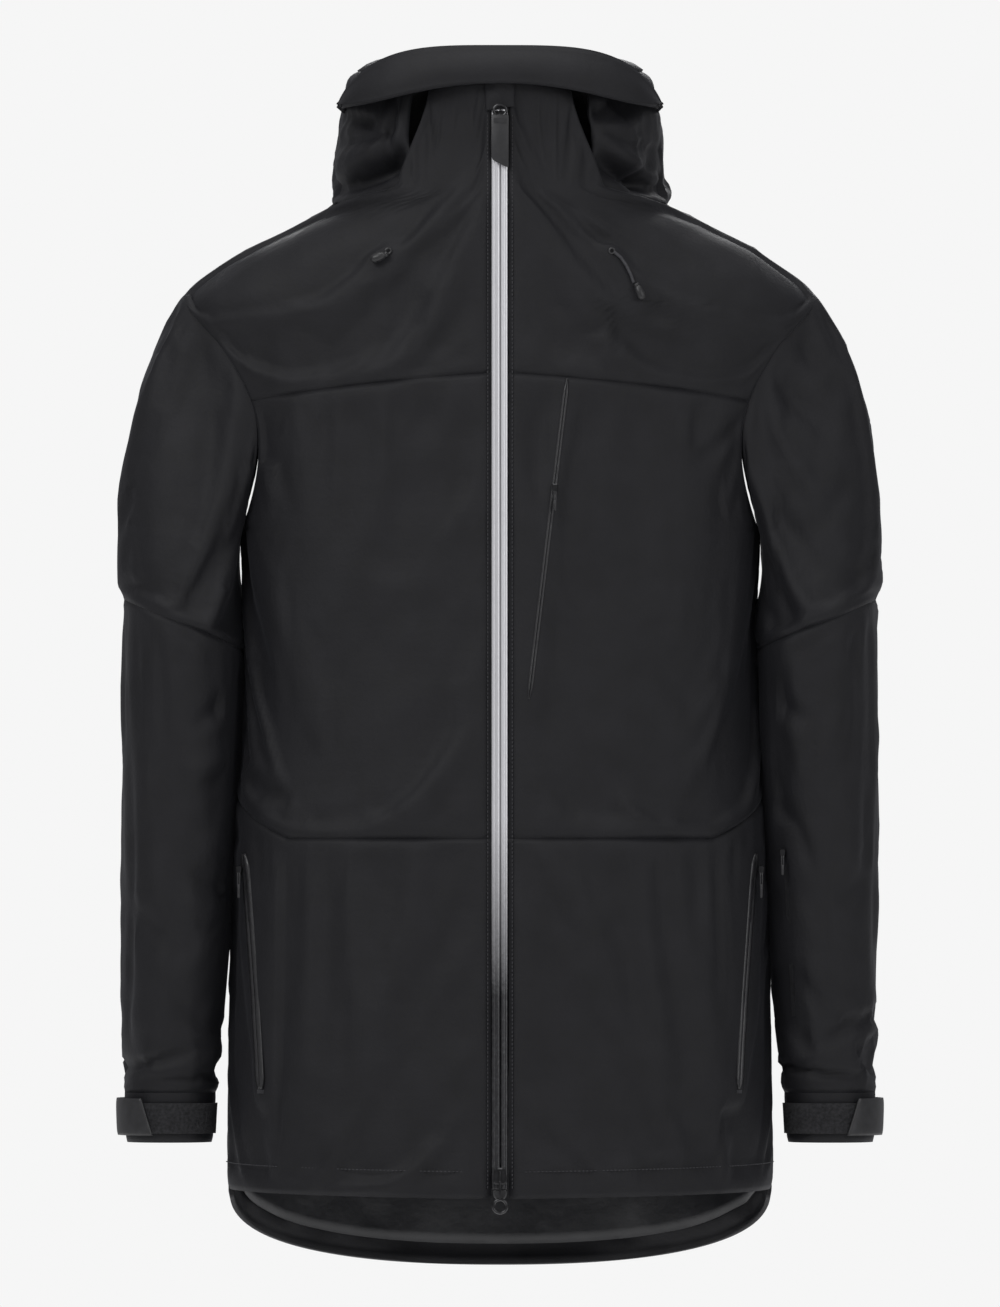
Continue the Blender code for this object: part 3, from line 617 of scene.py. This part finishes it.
def sleeve_panels():
    for side, word in SIDES:
        def relief(point):
            lift = stroke_height(point.x, point.z, SLEEVE_FOLDS[side]) if point.y < FRONT_LIMIT else 0.0
            low = smooth((0.60 - point.z) / 0.1)
            lift += rumple(point, 0.055, 0.0030, 11.0 + side) + cloth_creases(point, 0.030, 0.0016, 2.0 + side)
            inward = side * point.x < 0.232 and point.z < 0.66
            return min(max(lift, -0.0004), 0.0012) if inward else lift * lerp(0.85, 1.0, low)

        def tube(point_at):
            """A sleeve's surface, from a function of the turn round it and of the share of its length."""
            def surface(u, v):
                return mirrored(side, point_at(360 * u * side + 180, v))
            return surface

        def upper(turn, v):
            return upper_sleeve_point(turn, lerp(-0.035, 1.0, 1 - v))

        def lower(turn, v):
            return sleeve_outline(turn, lerp(CUFF_TOP, elbow_seam(turn), v))

        def cuff(turn, v):
            return sleeve_outline(turn, lerp(CUFF_FOOT, CUFF_TOP + 0.004, v), 0.0010)

        def cuff_relief(point):
            return 0.3 * cloth_creases(point, 0.02, 0.002, 4.0)
        top = grid_piece(f"upper_sleeve_shell_{word}", tube(upper), 0.40, 0.28, CELL, relief, PANEL, None,
                         SHELL, (f"upper_sleeve_{word}",), closed=True, edges="v", roll=0.0014,
                         slack=SLEEVE_SLACK)
        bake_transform(top)
        bottom = grid_piece(f"lower_sleeve_shell_{word}", tube(lower), 0.37, 0.40, CELL, relief, PANEL, None,
                            SHELL, (f"lower_sleeve_{word}",), closed=True, edges="v", roll=0.0014,
                            slack=SLEEVE_SLACK)
        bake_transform(bottom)
        grid_piece(f"cuff_band_{word}", tube(cuff), 0.26, 0.045, 0.004, cuff_relief, 0.0030,
                   f"lower_sleeve_{word}", SHELL, (f"cuff_{word}",), closed=True, edges="v", roll=0.0012)


def hood_relief(point):
    if point.y < 0.03:
        lift = stroke_height(point.x, point.z, HOOD_FOLDS)
    else:
        lift = cloth_creases(point, 0.040, 0.0045, 6.0)
    return lift + rumple(point, 0.045, 0.0030, 8.0) + cloth_creases(point, 0.018, 0.0016, 14.0)


HOOD_PANEL = 0.0030       # thickness of the hood's panels
BRIM_SEAM = -0.070        # y of the seam between the brim and the hood's roof
CROWN_START = 0.895       # share of the hood's height where its crown begins
TURN_BACK = 0.052         # how far the brim and the roof's front edge turn back at the hood's full width


def hood_panels():
    def band(first, last):
        def surface(u, v):
            return hood_ring(lerp(0.0, 0.90, v), lerp(first, last, u))
        return surface
    for word, first, last, width, height, cell, node in (
            ("left", -60, 56, 0.24, 0.12, CELL * 0.7, "hood_side_left"),
            ("right", 124, 240, 0.24, 0.12, CELL * 0.7, "hood_side_right"),
            ("back", 56, 124, 0.17, 0.13, BACK_CELL, "hood_centre")):
        grid_piece(f"hood_panel_{word}", band(first, last), width, height, cell, hood_relief, HOOD_PANEL,
                   "shell", SHELL, (node,), slack=HOOD_SLACK)

    def crown(u, v):
        share = lerp((1 - CROWN_START**HOOD_RISE_POWER)**HOOD_SHARE_POWER, 0.0, v)
        rise = (1 - share**(1 / HOOD_SHARE_POWER))**(1 / HOOD_RISE_POWER)
        return hood_ring(rise, 360 * u)
    grid_piece("hood_crown", crown, 0.60, 0.10, BACK_CELL, lambda p: rumple(p, 0.05, 0.0015, 4.0), HOOD_PANEL,
               "shell", SHELL, closed=True, edges="")

    def roof(u, v):
        """Top of the hood, from the brim's seam back to the crown."""
        point = hood_arch(lerp(27, 153, u))
        shrink = lerp(1.0, 0.955, v**2)
        front = BRIM_SEAM + TURN_BACK * abs(point.x / HOOD_WIDTH)**4
        return Vector((point.x * shrink, lerp(front, 0.060, v), HOOD_BASE + (point.z - HOOD_BASE) * shrink))
    grid_piece("hood_roof", roof, 0.34, 0.13, CELL, lambda p: rumple(p, 0.06, 0.0012, 4.0), HOOD_PANEL, "shell",
               SHELL)

    def brim(u, v):
        """Stiff peak: a crescent that is full in the middle and rounds off at both ends."""
        top = hood_arch(lerp(29, 151, u))
        share = abs(top.x) / 0.1315
        end = math.sqrt(max(1 - share**8, 0.0))
        low = 0.9785 - 0.0225 * (top.x / 0.118)**2
        meet = lerp(low, top.z, 0.72)
        z = lerp(lerp(meet, low, end), top.z, v)
        y = BRIM_SEAM - 0.010 * (1 - v) - 0.007 * math.sin(math.pi * (0.08 + 0.86 * v)) * end
        return Vector((top.x, y + TURN_BACK * abs(top.x / HOOD_WIDTH)**4, z))
    grid_piece("brim_panel", brim, 0.30, 0.036, 0.0030, lambda p: rumple(p, 0.05, 0.0006, 2.0), 0.0045, "shell",
               SHELL, ("hood_brim",))


def hood_arch(around):
    """Outline of the hood seen from the front, by angle from the left side over the top."""
    c, s = cos_sin(around)
    return Vector((HOOD_WIDTH * signed_power(c, 0.55), 0.0, HOOD_BASE + 0.1268 * s**0.62))


# Linings

SLEEVE_LINING_INSET, HOOD_LINING_INSET = 0.0130, 0.0240


def wrinkles(point):
    near_hem = smooth((0.16 - point.z) / 0.1)
    return cloth_creases(point, 0.035, 0.0020 + 0.0022 * near_hem, 17.0) - 0.0015


def satin_sheet(name, surface, width, length, cell, replaced, relief=wrinkles, thickness=LINING,
                body="shell", closed=False):
    """A lining of satin, shaped by its own surface."""
    piece = grid_piece(name, surface, width, length, BACK_CELL * cell, relief, thickness, body, SATIN,
                       (replaced,), closed=closed, edges="")


def linings():
    def front(side):
        def surface(u, v):
            across = u if side > 0 else 1 - u
            z = lerp(0.066, 0.872, v)
            limit = -(armhole_angle(z) + 0.4)
            point = torso_point(lerp(torso_angle(ZIP_HALF + 0.002, z), limit, across), z, LINING_INSET)
            return mirrored(side, point)
        return surface

    def back(u, v):
        out = abs(2 * u - 1)
        z = lerp(lerp(0.006, 0.066, out * out), 0.872, v)
        edge = armhole_angle(z) + 0.4
        return torso_point(lerp(edge, 180 - edge, u), z, LINING_INSET)

    def skirt(u, v):
        return torso_point(360 * u, lerp(0.150, 0.330, v), 0.0230 - 0.006 * v)

    def gathers(point):
        return 0.0022 * math.sin(95 * math.atan2(point.y, point.x)) * smooth((0.30 - point.z) / 0.1)

    def hood_inside(u, v):
        point = hood_ring(lerp(0.03, 0.93, v), lerp(-42, 222, u))
        middle = Vector((0, (HOOD_FRONT + HOOD_BACK) / 2, point.z))
        return point + (middle - point).normalized() * HOOD_LINING_INSET
    for side, word in SIDES:
        satin_sheet(f"lining_front_{word}_satin", front(side), 0.24, 0.82, 1.6,
                    f"lining_front_{word}")
        satin_sheet(f"sleeve_lining_{word}_satin", sleeve_lining(side), 0.34, 0.26, 1.6,
                    f"upper_sleeve_lining_{word}", body=f"upper_sleeve_{word}",
                    closed=True)
    satin_sheet("lining_back_satin", back, 0.50, 0.84, 1.4, "lining_back")
    satin_sheet("powder_skirt_satin", skirt, 1.05, 0.18, 1.5, "powder_skirt", gathers,
                0.0012, closed=True)
    satin_sheet("hood_lining_satin", hood_inside, 0.60, 0.12, 1.5, "hood_lining")
    grid_piece("collar_stand_satin", collar_stand, 0.24, 0.044, BACK_CELL * 1.5, wrinkles, 0.0020, "shell",
               SATIN, ("collar_stand_back",), edges="")


def collar_stand(u, v):
    """The collar behind the neck, under the hood."""
    z = lerp(0.8815, 0.925, v)
    half, back = table(TORSO, z)
    return outline(half - 0.012, front_line(z), back - 0.012, z, lerp(36, 144, u))


def sleeve_lining(side):
    def surface(u, v):
        turn = 360 * u * side + 180
        down = lerp(0.98, 0.06, v)
        point = upper_sleeve_point(turn, down)
        centre = (upper_sleeve_point(0, down) + upper_sleeve_point(180, down)) / 2
        point += (centre - point).normalized() * SLEEVE_LINING_INSET
        return mirrored(side, point)
    return surface


# Zips and their sliders

ZIP_FOOT, ZIP_TOP = 0.058, 0.957


def on_zip(z, out):
    """Point at this height, out in front of the zip's leaning face."""
    return Vector((0.0, front_line(z) - out * math.cos(LEAN), z))


def mesh_piece(name, work, body, paint, replaced=(), smooth_angle=35):
    for vert in work.verts:
        vert.co -= LOOP
    bmesh.ops.recalc_face_normals(work, faces=work.faces)
    piece = object_of(name, work, paint)
    piece.data.set_sharp_from_angle(angle=math.radians(smooth_angle))
    dress(piece, body, replaced)
    return piece


# Half section of the coated tape: distance from the middle, and height over its flat
TAPE_SECTION = [(0.0003, -0.0004), (0.0010, 0.0007), (0.0020, 0.0012), (0.0030, 0.0009), (0.0036, -0.0001),
                (0.0045, 0.0001), (0.0058, 0.0002), (0.0066, -0.0010)]
PITCH = 0.0020            # length of one coil


def tape_piece(name, work, grid, paint, replaced, side):
    """A zip's tape from rows of vertices, with a backing behind its face."""
    for lower, upper in zip(grid, grid[1:]):
        for k in range(len(lower) - 1):
            work.faces.new((lower[k], lower[k + 1], upper[k + 1], upper[k]))
    piece = mesh_piece(name, work, "shell", paint, replaced, 80)
    backing = piece.modifiers.new("backing", "SOLIDIFY")
    backing.thickness, backing.offset = 0.0008, -1.0 * side


def main_zip():
    rows = int((ZIP_TOP - ZIP_FOOT) / (PITCH / 2))
    for side, word in SIDES:
        work = bmesh.new()
        grid = []
        for j in range(rows + 1):
            z = lerp(ZIP_FOOT, ZIP_TOP, j / rows)
            ripple = 0.00022 if j % 2 else -0.00022
            line = []
            for x, height in TAPE_SECTION:
                on_coil = bell(x - 0.0020, 0.0014)
                point = on_zip(z, height - 0.0012 + ripple * on_coil)
                line.append(work.verts.new((side * x, point.y, point.z)))
            grid.append(line)
        tape_piece(f"coated_zip_{word}", work, grid, TAPE, (f"zip_tape_{word}", f"zip_coil_{word}"), side)


def stitches(name, path, out_of, body, pitch=0.0034, length=0.0023, width=0.0007):
    """A row of stitches along path; out_of(point) gives the cloth's outward direction there."""
    work = bmesh.new()
    ends = [(b - a).length for a, b in zip(path, path[1:])]
    total, step, k, gone = sum(ends), pitch / 2, 0, 0.0
    while step < total - length:
        while k < len(ends) - 1 and gone + ends[k] < step:
            gone += ends[k]
            k += 1
        along = (path[k + 1] - path[k]).normalized()
        centre = path[k] + along * (step - gone)
        out = out_of(centre)
        side = along.cross(out).normalized()
        top, foot = ([work.verts.new(centre + along * a * length / 2 + side * b * width / 2 + out * height)
                      for a, b in ((-long, -1), (long, -1), (long, 1), (-long, 1))]
                     for long, height in ((0.6, 0.0004), (1, -0.0005)))
        work.faces.new(top)
        work.faces.new(foot[::-1])
        for i in range(4):
            m = (i + 1) % 4
            work.faces.new((foot[i], foot[m], top[m], top[i]))
        step += pitch
    return mesh_piece(name, work, body, THREAD)


def front_out(point):
    return Vector((0.0, -math.cos(LEAN), math.sin(LEAN)))


def radial_out(point):
    return Vector((point.x * 0.4, point.y, 0.0)).normalized()


STITCH_X = 0.0102         # the row of stitches beside the main zip


def topstitching():
    for side, word in SIDES:
        path = []
        for j in range(61):
            z = lerp(ZIP_FOOT, 0.955, j / 60)
            point = torso_point(torso_angle(STITCH_X, z), z)
            lift = torso_relief(point) * smooth((STITCH_X - ZIP_HALF) / RELIEF_FADE)
            drop = 0.0016 * math.exp(-(STITCH_X - ZIP_HALF) / SEAM_ROLL)
            path.append(Vector((side * point.x, point.y - lift + drop - 0.0002, z)))
        stitches(f"zip_topstitch_{word}", path, front_out, "shell")
        path = []
        for j in range(61):
            u = j / 60
            z = seam_height(HEM, u) + 0.0225
            angle = lerp(torso_angle(0.02, z), -2.0, u)
            lift = torso_relief(torso_point(angle, z)) + 0.0002
            path.append(mirrored(side, torso_point(angle, z, -lift)))
        stitches(f"hem_topstitch_{word}", path, radial_out, "shell")


def capped_shape(work, rings):
    """A closed shape from rings of vertices, each joined to the next, with a face at both ends."""
    for low, high in zip(rings, rings[1:]):
        for i in range(len(low)):
            k = (i + 1) % len(low)
            work.faces.new((low[i], low[k], high[k], high[i]))
    work.faces.new(rings[0][::-1])
    work.faces.new(rings[-1])


def shield(work, centre, width, height, depth, turn):
    """Slider body: a shield that narrows towards the closed end, with a raised bridge."""
    outline_points = [(-0.5, 0.38), (-0.36, 0.5), (0.36, 0.5), (0.5, 0.38), (0.46, -0.1), (0.30, -0.44),
                      (0.18, -0.5), (-0.18, -0.5), (-0.30, -0.44), (-0.46, -0.1)]
    layers = []
    for out, shrink in ((-0.5, 1.0), (0.2, 1.0), (0.5, 0.82)):
        ring = []
        for x, z in outline_points:
            local = turn @ Vector((x * width * shrink, -out * depth, z * height * shrink))
            ring.append(work.verts.new(centre + local))
        layers.append(ring)
    capped_shape(work, layers)


def bar(work, a, b, width, depth):
    """A straight bar with chamfered ends between two points."""
    made = bmesh.ops.create_cube(work, size=1.0)["verts"]
    along = b - a
    turn = Vector((0, 0, 1)).rotation_difference(along).to_matrix()
    bmesh.ops.scale(work, vec=(width, depth, along.length), verts=made)
    edges = list(dict.fromkeys(e for v in made for e in v.link_edges))
    faces = bmesh.ops.bevel(work, geom=edges, offset=min(width, depth) * 0.3, segments=2, affect="EDGES",
                            profile=0.5)["faces"]
    made = list(dict.fromkeys(v for f in faces for v in f.verts))
    bmesh.ops.rotate(work, matrix=turn, verts=made)
    bmesh.ops.translate(work, vec=(a + b) / 2, verts=made)


def ring_loop(work, centre, radius, wire, flat=1.0):
    """A closed ring of round wire, standing in the jacket's front plane."""
    steps, sides = 22, 8
    rings = []
    for i in range(steps):
        a = 2 * math.pi * i / steps
        middle = Vector((math.cos(a) * radius, 0, math.sin(a) * radius * flat))
        out = Vector((math.cos(a), 0, math.sin(a)))
        ring = []
        for k in range(sides):
            b = 2 * math.pi * k / sides
            aside = out * math.cos(b) + Vector((0, math.sin(b), 0))
            ring.append(work.verts.new(centre + middle + aside * wire))
        rings.append(ring)
    for i in range(steps):
        for k in range(sides):
            m = (k + 1) % sides
            n = (i + 1) % steps
            work.faces.new((rings[i][k], rings[i][m], rings[n][m], rings[n][k]))


def slab_outline(work, points, front, thickness):
    """A flat tag from an outline of (x, z) points, its face at y = front."""
    face = [work.verts.new((x, front, z)) for x, z in points]
    rear = [work.verts.new((x, front + thickness, z)) for x, z in points]
    work.faces.new(face)
    work.faces.new(rear[::-1])
    for i in range(len(points)):
        m = (i + 1) % len(points)
        work.faces.new((face[m], face[i], rear[i], rear[m]))


def main_sliders():
    for name, z, flip in (("main_slider", 0.9480, 1), ("bottom_slider", 0.0690, -1)):
        work = bmesh.new()
        centre = on_zip(z, 0.0030)
        shield(work, centre, 0.0118, 0.0140, 0.0036, TURN_TO_FRONT @ Matrix.Diagonal((1, 1, flip)))
        bar(work, centre + Vector((0, -0.0026, 0.0045)), centre + Vector((0, -0.0026, -0.0045)), 0.0034, 0.0016)
        mesh_piece(f"{name}_body", work, name, METAL, (name,))
    top = on_zip(0.9480, 0.0022) + Vector((0, -0.0042, 0.0090))
    work = bmesh.new()
    ring_loop(work, top + Vector((0, 0, -0.0015)), 0.0053, 0.0012, 0.92)
    mesh_piece("main_puller_ring", work, "main_puller", METAL)
    work = bmesh.new()
    half, upper, lower = 0.0072, top.z - 0.0050, top.z - 0.0480
    slab_outline(work, [(-half, upper), (half, upper), (half, lower - 0.0012), (half - 0.0035, lower),
                        (-half + 0.0015, lower + 0.0050), (-half, lower + 0.0075)], top.y - 0.0012, 0.0022)
    bmesh.ops.bevel(work, geom=work.edges[:], offset=0.0005, segments=2, affect="EDGES", profile=0.5)
    inner = half - 0.002
    slab_outline(work, [(-inner, upper - 0.003), (inner, upper - 0.003), (inner, upper - 0.007),
                        (-inner, upper - 0.007)], top.y - 0.0016, 0.0004)
    mesh_piece("main_puller_tag", work, "main_puller", RUBBER, ("main_puller",))
    foot = on_zip(0.0690, 0.0022) + Vector((0, -0.0040, -0.0080))
    work = bmesh.new()
    bar(work, foot + Vector((0, 0, 0.004)), foot + Vector((0, 0, -0.011)), 0.0046, 0.0018)
    ring_loop(work, foot + Vector((0, 0, -0.0168)), 0.0056, 0.0013)
    mesh_piece("bottom_puller_ring", work, "bottom_puller", METAL, ("bottom_puller",))


def garage():
    """Small hood of cloth over the zip's top end, folded to one side."""
    def flap(u, v):
        x = lerp(-0.0125, 0.0125, u)
        z = lerp(0.955 + 0.004 * u, 0.982, v)
        return on_zip(z, 0.0010 + 0.0026 * math.sin(math.pi * u) + 0.0006 * v) + Vector((x, 0, 0))
    grid_piece("zip_garage_flap", flap, 0.025, 0.027, 0.0016, lambda p: cloth_creases(p, 0.008, 0.0012, 3.0),
               0.0012, "shell", SHELL, ("zip_garage",), edges="", roll=0.0)
    work = bmesh.new()
    box_low, box_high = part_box("zip_end_box")
    centre = (Vector(box_low) + Vector(box_high)) / 2 + LOOP
    shield(work, centre, 0.0120, 0.0080, 0.0030, TURN_TO_FRONT)
    mesh_piece("zip_retainer_box", work, "shell", COIL, ("zip_end_box",))


def pocket_welt(name, top, foot, half, node, side=1, rows=90):
    """Narrow coated zip: two lips with a groove between them, standing just proud of the panel."""
    work = bmesh.new()
    grid = []
    section = [(-1.0, -0.0012), (-0.8, 0.0004), (-0.25, 0.0007), (0.0, -0.0004), (0.25, 0.0007), (0.8, 0.0004),
               (1.0, -0.0012)]
    for j in range(rows + 1):
        z = lerp(foot[1], top[1], j / rows)
        centre = abs(lerp(foot[0], top[0], j / rows))
        ease = smooth(min(j, rows - j) / 4)
        line = []
        for share, height in section:
            x = centre + share * half * lerp(0.35, 1, ease)
            cloth = max(torso_relief(on_front(centre, z, 0)), 0.0)
            point = torso_point(torso_angle(x, z), z, -height - 0.9 * cloth)
            line.append(work.verts.new((side * point.x, point.y, z)))
        grid.append(line)
    tape_piece(name, work, grid, POCKET_TAPE, (node,), side)


def cord_pull(name, slider, puller):
    """Pocket slider with a cord loop and a moulded end, where the CAD has its slider and puller."""
    low, high = (Vector(c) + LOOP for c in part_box(slider))
    size = high - low
    work = bmesh.new()
    shield(work, (low + high) / 2, size.x * 1.05, size.z, size.y * 0.8, Matrix.Identity(3))
    mesh_piece(f"{name}_slider_body", work, slider, METAL, (slider,))
    low, high = (Vector(c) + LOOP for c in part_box(puller))
    middle = (low + high) / 2
    top, foot = Vector((middle.x, middle.y, high.z)), Vector((middle.x, middle.y, low.z))
    work = bmesh.new()
    bar(work, lerp(top, foot, 0.42), foot, 0.0034, 0.0022)
    for shift in (-0.0008, 0.0008):
        aside = Vector((shift, 0, 0))
        bar(work, top + aside + Vector((0, 0, 0.0012)), lerp(top, foot, 0.5) + aside, 0.0011, 0.0011)
    mesh_piece(f"{name}_cord_pull", work, puller, RUBBER, (puller,))


def pockets():
    pocket_welt("chest_pocket_zip", *CHEST_ZIP, 0.0026, "chest_zip_tape")
    cord_pull("chest", "chest_slider", "chest_puller")
    for side, word in SIDES:
        pocket_welt(f"hand_pocket_zip_{word}", *HAND_ZIP, 0.0030, f"hand_zip_tape_{word}", side)
        cord_pull(f"hand_{word}", f"hand_slider_{word}", f"hand_puller_{word}")
        foot = on_front(side * 0.1975, 0.1380, 0.0008)
        stitches(f"hand_pocket_bartack_{word}", [foot + Vector((-0.004, 0, 0)), foot + Vector((0.004, 0, 0))],
                 radial_out, "shell", pitch=0.0009, length=0.0007, width=0.0030)
    cord_pull("sleeve", "sleeve_slider", "sleeve_puller")


def cuffs():
    for side, word in SIDES:
        def patch(u, v):
            turn = lerp(-168, -46 + 12 * v, u if side > 0 else 1 - u)
            point = sleeve_outline(turn, lerp(0.1020, 0.1275, v), -0.0026)
            return mirrored(side, point)

        def loops(point):
            where = point * 1400
            return 0.0007 * noise.noise(where) + 0.0005 * noise.noise(where * 0.35)
        grid_piece(f"cuff_loop_patch_{word}", patch, 0.078, 0.025, 0.0007, loops, 0.0012,
                   f"lower_sleeve_{word}", FUZZ, (f"cuff_patch_{word}",), roll=0.0008)

        def tab(u, v):
            share = u if side > 0 else 1 - u
            turn = lerp(-74 + 14 * v, 42, share)
            point = sleeve_outline(turn, lerp(0.1005, 0.1315, v), -0.0066 + 0.0012 * smooth(share * 2 - 1))
            return mirrored(side, point)
        grid_piece(f"cuff_tab_panel_{word}", tab, 0.075, 0.031, 0.0020, lambda p: 0.0, 0.0018,
                   f"cuff_tab_{word}", RUBBER, (f"cuff_tab_{word}",), roll=0.0009)


# Drawcord route as in part.py: (x, height) on the chest, from the eyelet down
CORD_ROUTE = [(0.0937, 0.8378), (0.0995, 0.8330), (0.1040, 0.8265), (0.1075, 0.8195), (0.1102, 0.8120)]
CORD_DIAMETER, CORD_LIFT = 0.0028, 0.0026


def moulded_end(word, upper, lower):
    """Barrel cord end: narrow at the cord, full in the middle, with a groove."""
    width, start, end = 0.0076, on_front(*upper, 0.0052), on_front(*lower, 0.0052)
    along = end - start
    turn = Vector((0, 0, 1)).rotation_difference(along).to_matrix()
    profile = [(0.00, 0.24), (0.02, 0.30), (0.10, 0.34), (0.16, 0.28), (0.24, 0.40), (0.50, 0.50),
               (0.78, 0.50), (0.92, 0.42), (1.00, 0.22)]
    work = bmesh.new()
    rings = []
    for share, radius in profile:
        ring = []
        for k in range(18):
            a = 2 * math.pi * k / 18
            local = Vector((math.cos(a) * radius * width, math.sin(a) * radius * width, share * along.length))
            ring.append(work.verts.new(start + turn @ local))
        rings.append(ring)
    capped_shape(work, rings)
    return mesh_piece(f"cord_end_{word}_barrel", work, "shell", RUBBER, (f"cord_end_{word}",), 50)


def drawcords():
    line = bpy.data.curves.new("drawcord_line", "CURVE")
    line.dimensions = "3D"
    line.bevel_depth, line.bevel_resolution, line.use_fill_caps = CORD_DIAMETER / 2, 3, True
    spline = line.splines.new("POLY")
    spline.points.add(len(CORD_ROUTE) - 1)
    for point, (x, z) in zip(spline.points, CORD_ROUTE):
        point.co = (*(on_front(x, z, CORD_LIFT) - LOOP), 1)
    route = [Vector(point.co[:3]) for point in spline.points]
    cord = bpy.data.objects.new("hood_drawcord", line)
    bpy.context.scene.collection.objects.link(cord)
    line.materials.append(THREAD)
    dress(cord, "shell", ("drawcord_left",))
    end = moulded_end("left", (0.1110, 0.8112), (0.1170, 0.7980))
    moulded_end("right", (-0.0915, 0.8362), (-0.1050, 0.8310))
    for side, word in SIDES:
        work = bmesh.new()
        ring_loop(work, on_front(side * 0.0925, 0.8385, 0.0016), 0.0022, 0.0008)
        mesh_piece(f"cord_eyelet_{word}", work, "shell", RUBBER)


def kept_nodes():
    """CAD pieces whose shape is right get their finish."""
    for node, paint in (("hanger_loop", SATIN), ("chin_guard", FUZZ), ("sleeve_zip_tape", POCKET_TAPE)):
        node_object = next(o for o in bpy.data.objects if o.name == node)
        node_object.data.materials.clear()
        node_object.data.materials.append(paint)


def studio():
    scene = bpy.context.scene
    scene.view_settings.view_transform = "Standard"
    world = bpy.data.worlds.new("pale_studio")
    world.use_nodes = True
    nodes, links = world.node_tree.nodes, world.node_tree.links
    seen, lit = nodes["Background"], nodes.new("ShaderNodeBackground")
    choose = nodes.new("ShaderNodeMixShader")
    seen.inputs["Color"].default_value = (0.921, 0.921, 0.921, 1.0)
    lit.inputs["Color"].default_value = (0.30, 0.30, 0.31, 1.0)
    links.new(nodes.new("ShaderNodeLightPath").outputs["Is Camera Ray"], choose.inputs["Fac"])
    links.new(lit.outputs["Background"], choose.inputs[1])
    links.new(seen.outputs["Background"], choose.inputs[2])
    links.new(choose.outputs["Shader"], nodes["World Output"].inputs["Surface"])
    scene.world = world
    pale, _, _, shader = shader_of("pale_floor", (0.88, 0.88, 0.88), 0.9)
    shader.inputs["Emission Color"].default_value = (0.92, 0.92, 0.92, 1.0)
    shader.inputs["Emission Strength"].default_value = 0.45
    work = bmesh.new()
    bmesh.ops.create_grid(work, x_segments=1, y_segments=1, size=5.0)
    ground = object_of("floor", work, pale)
    ground.location = (0, 0, -2.2)
    for name, place, size, power in (
            ("key", (-1.6, -2.4, 1.6), 1.4, 42.0), ("fill", (2.0, -2.6, 0.6), 1.8, 22.0),
            ("top", (0.0, -0.4, 2.4), 1.6, 30.0), ("back", (0.3, 2.6, 1.2), 1.8, 30.0)):
        lamp = bpy.data.lights.new(name, "AREA")
        lamp.energy, lamp.size = power, size
        light = bpy.data.objects.new(name, lamp)
        scene.collection.objects.link(light)
        light.location = place
        light.rotation_euler = (Vector((0, 0, -0.35)) - Vector(place)).to_track_quat("-Z", "Y").to_euler()
    lens = bpy.data.cameras.new("camera")
    distance, frame_height = 20.0, 1.098
    lens.lens = 36.0 * distance / frame_height
    lens.clip_end = 100.0
    camera = bpy.data.objects.new("camera", lens)
    scene.collection.objects.link(camera)
    camera.location = (0.0, -distance, -0.365)
    camera.rotation_euler = (math.radians(90), 0, 0)
    scene.camera = camera


studio()
drawcords()
torso_panels()
sleeve_panels()
hood_panels()
linings()
main_zip()
topstitching()
main_sliders()
garage()
pockets()
cuffs()
kept_nodes()
bpy.context.view_layer.update()
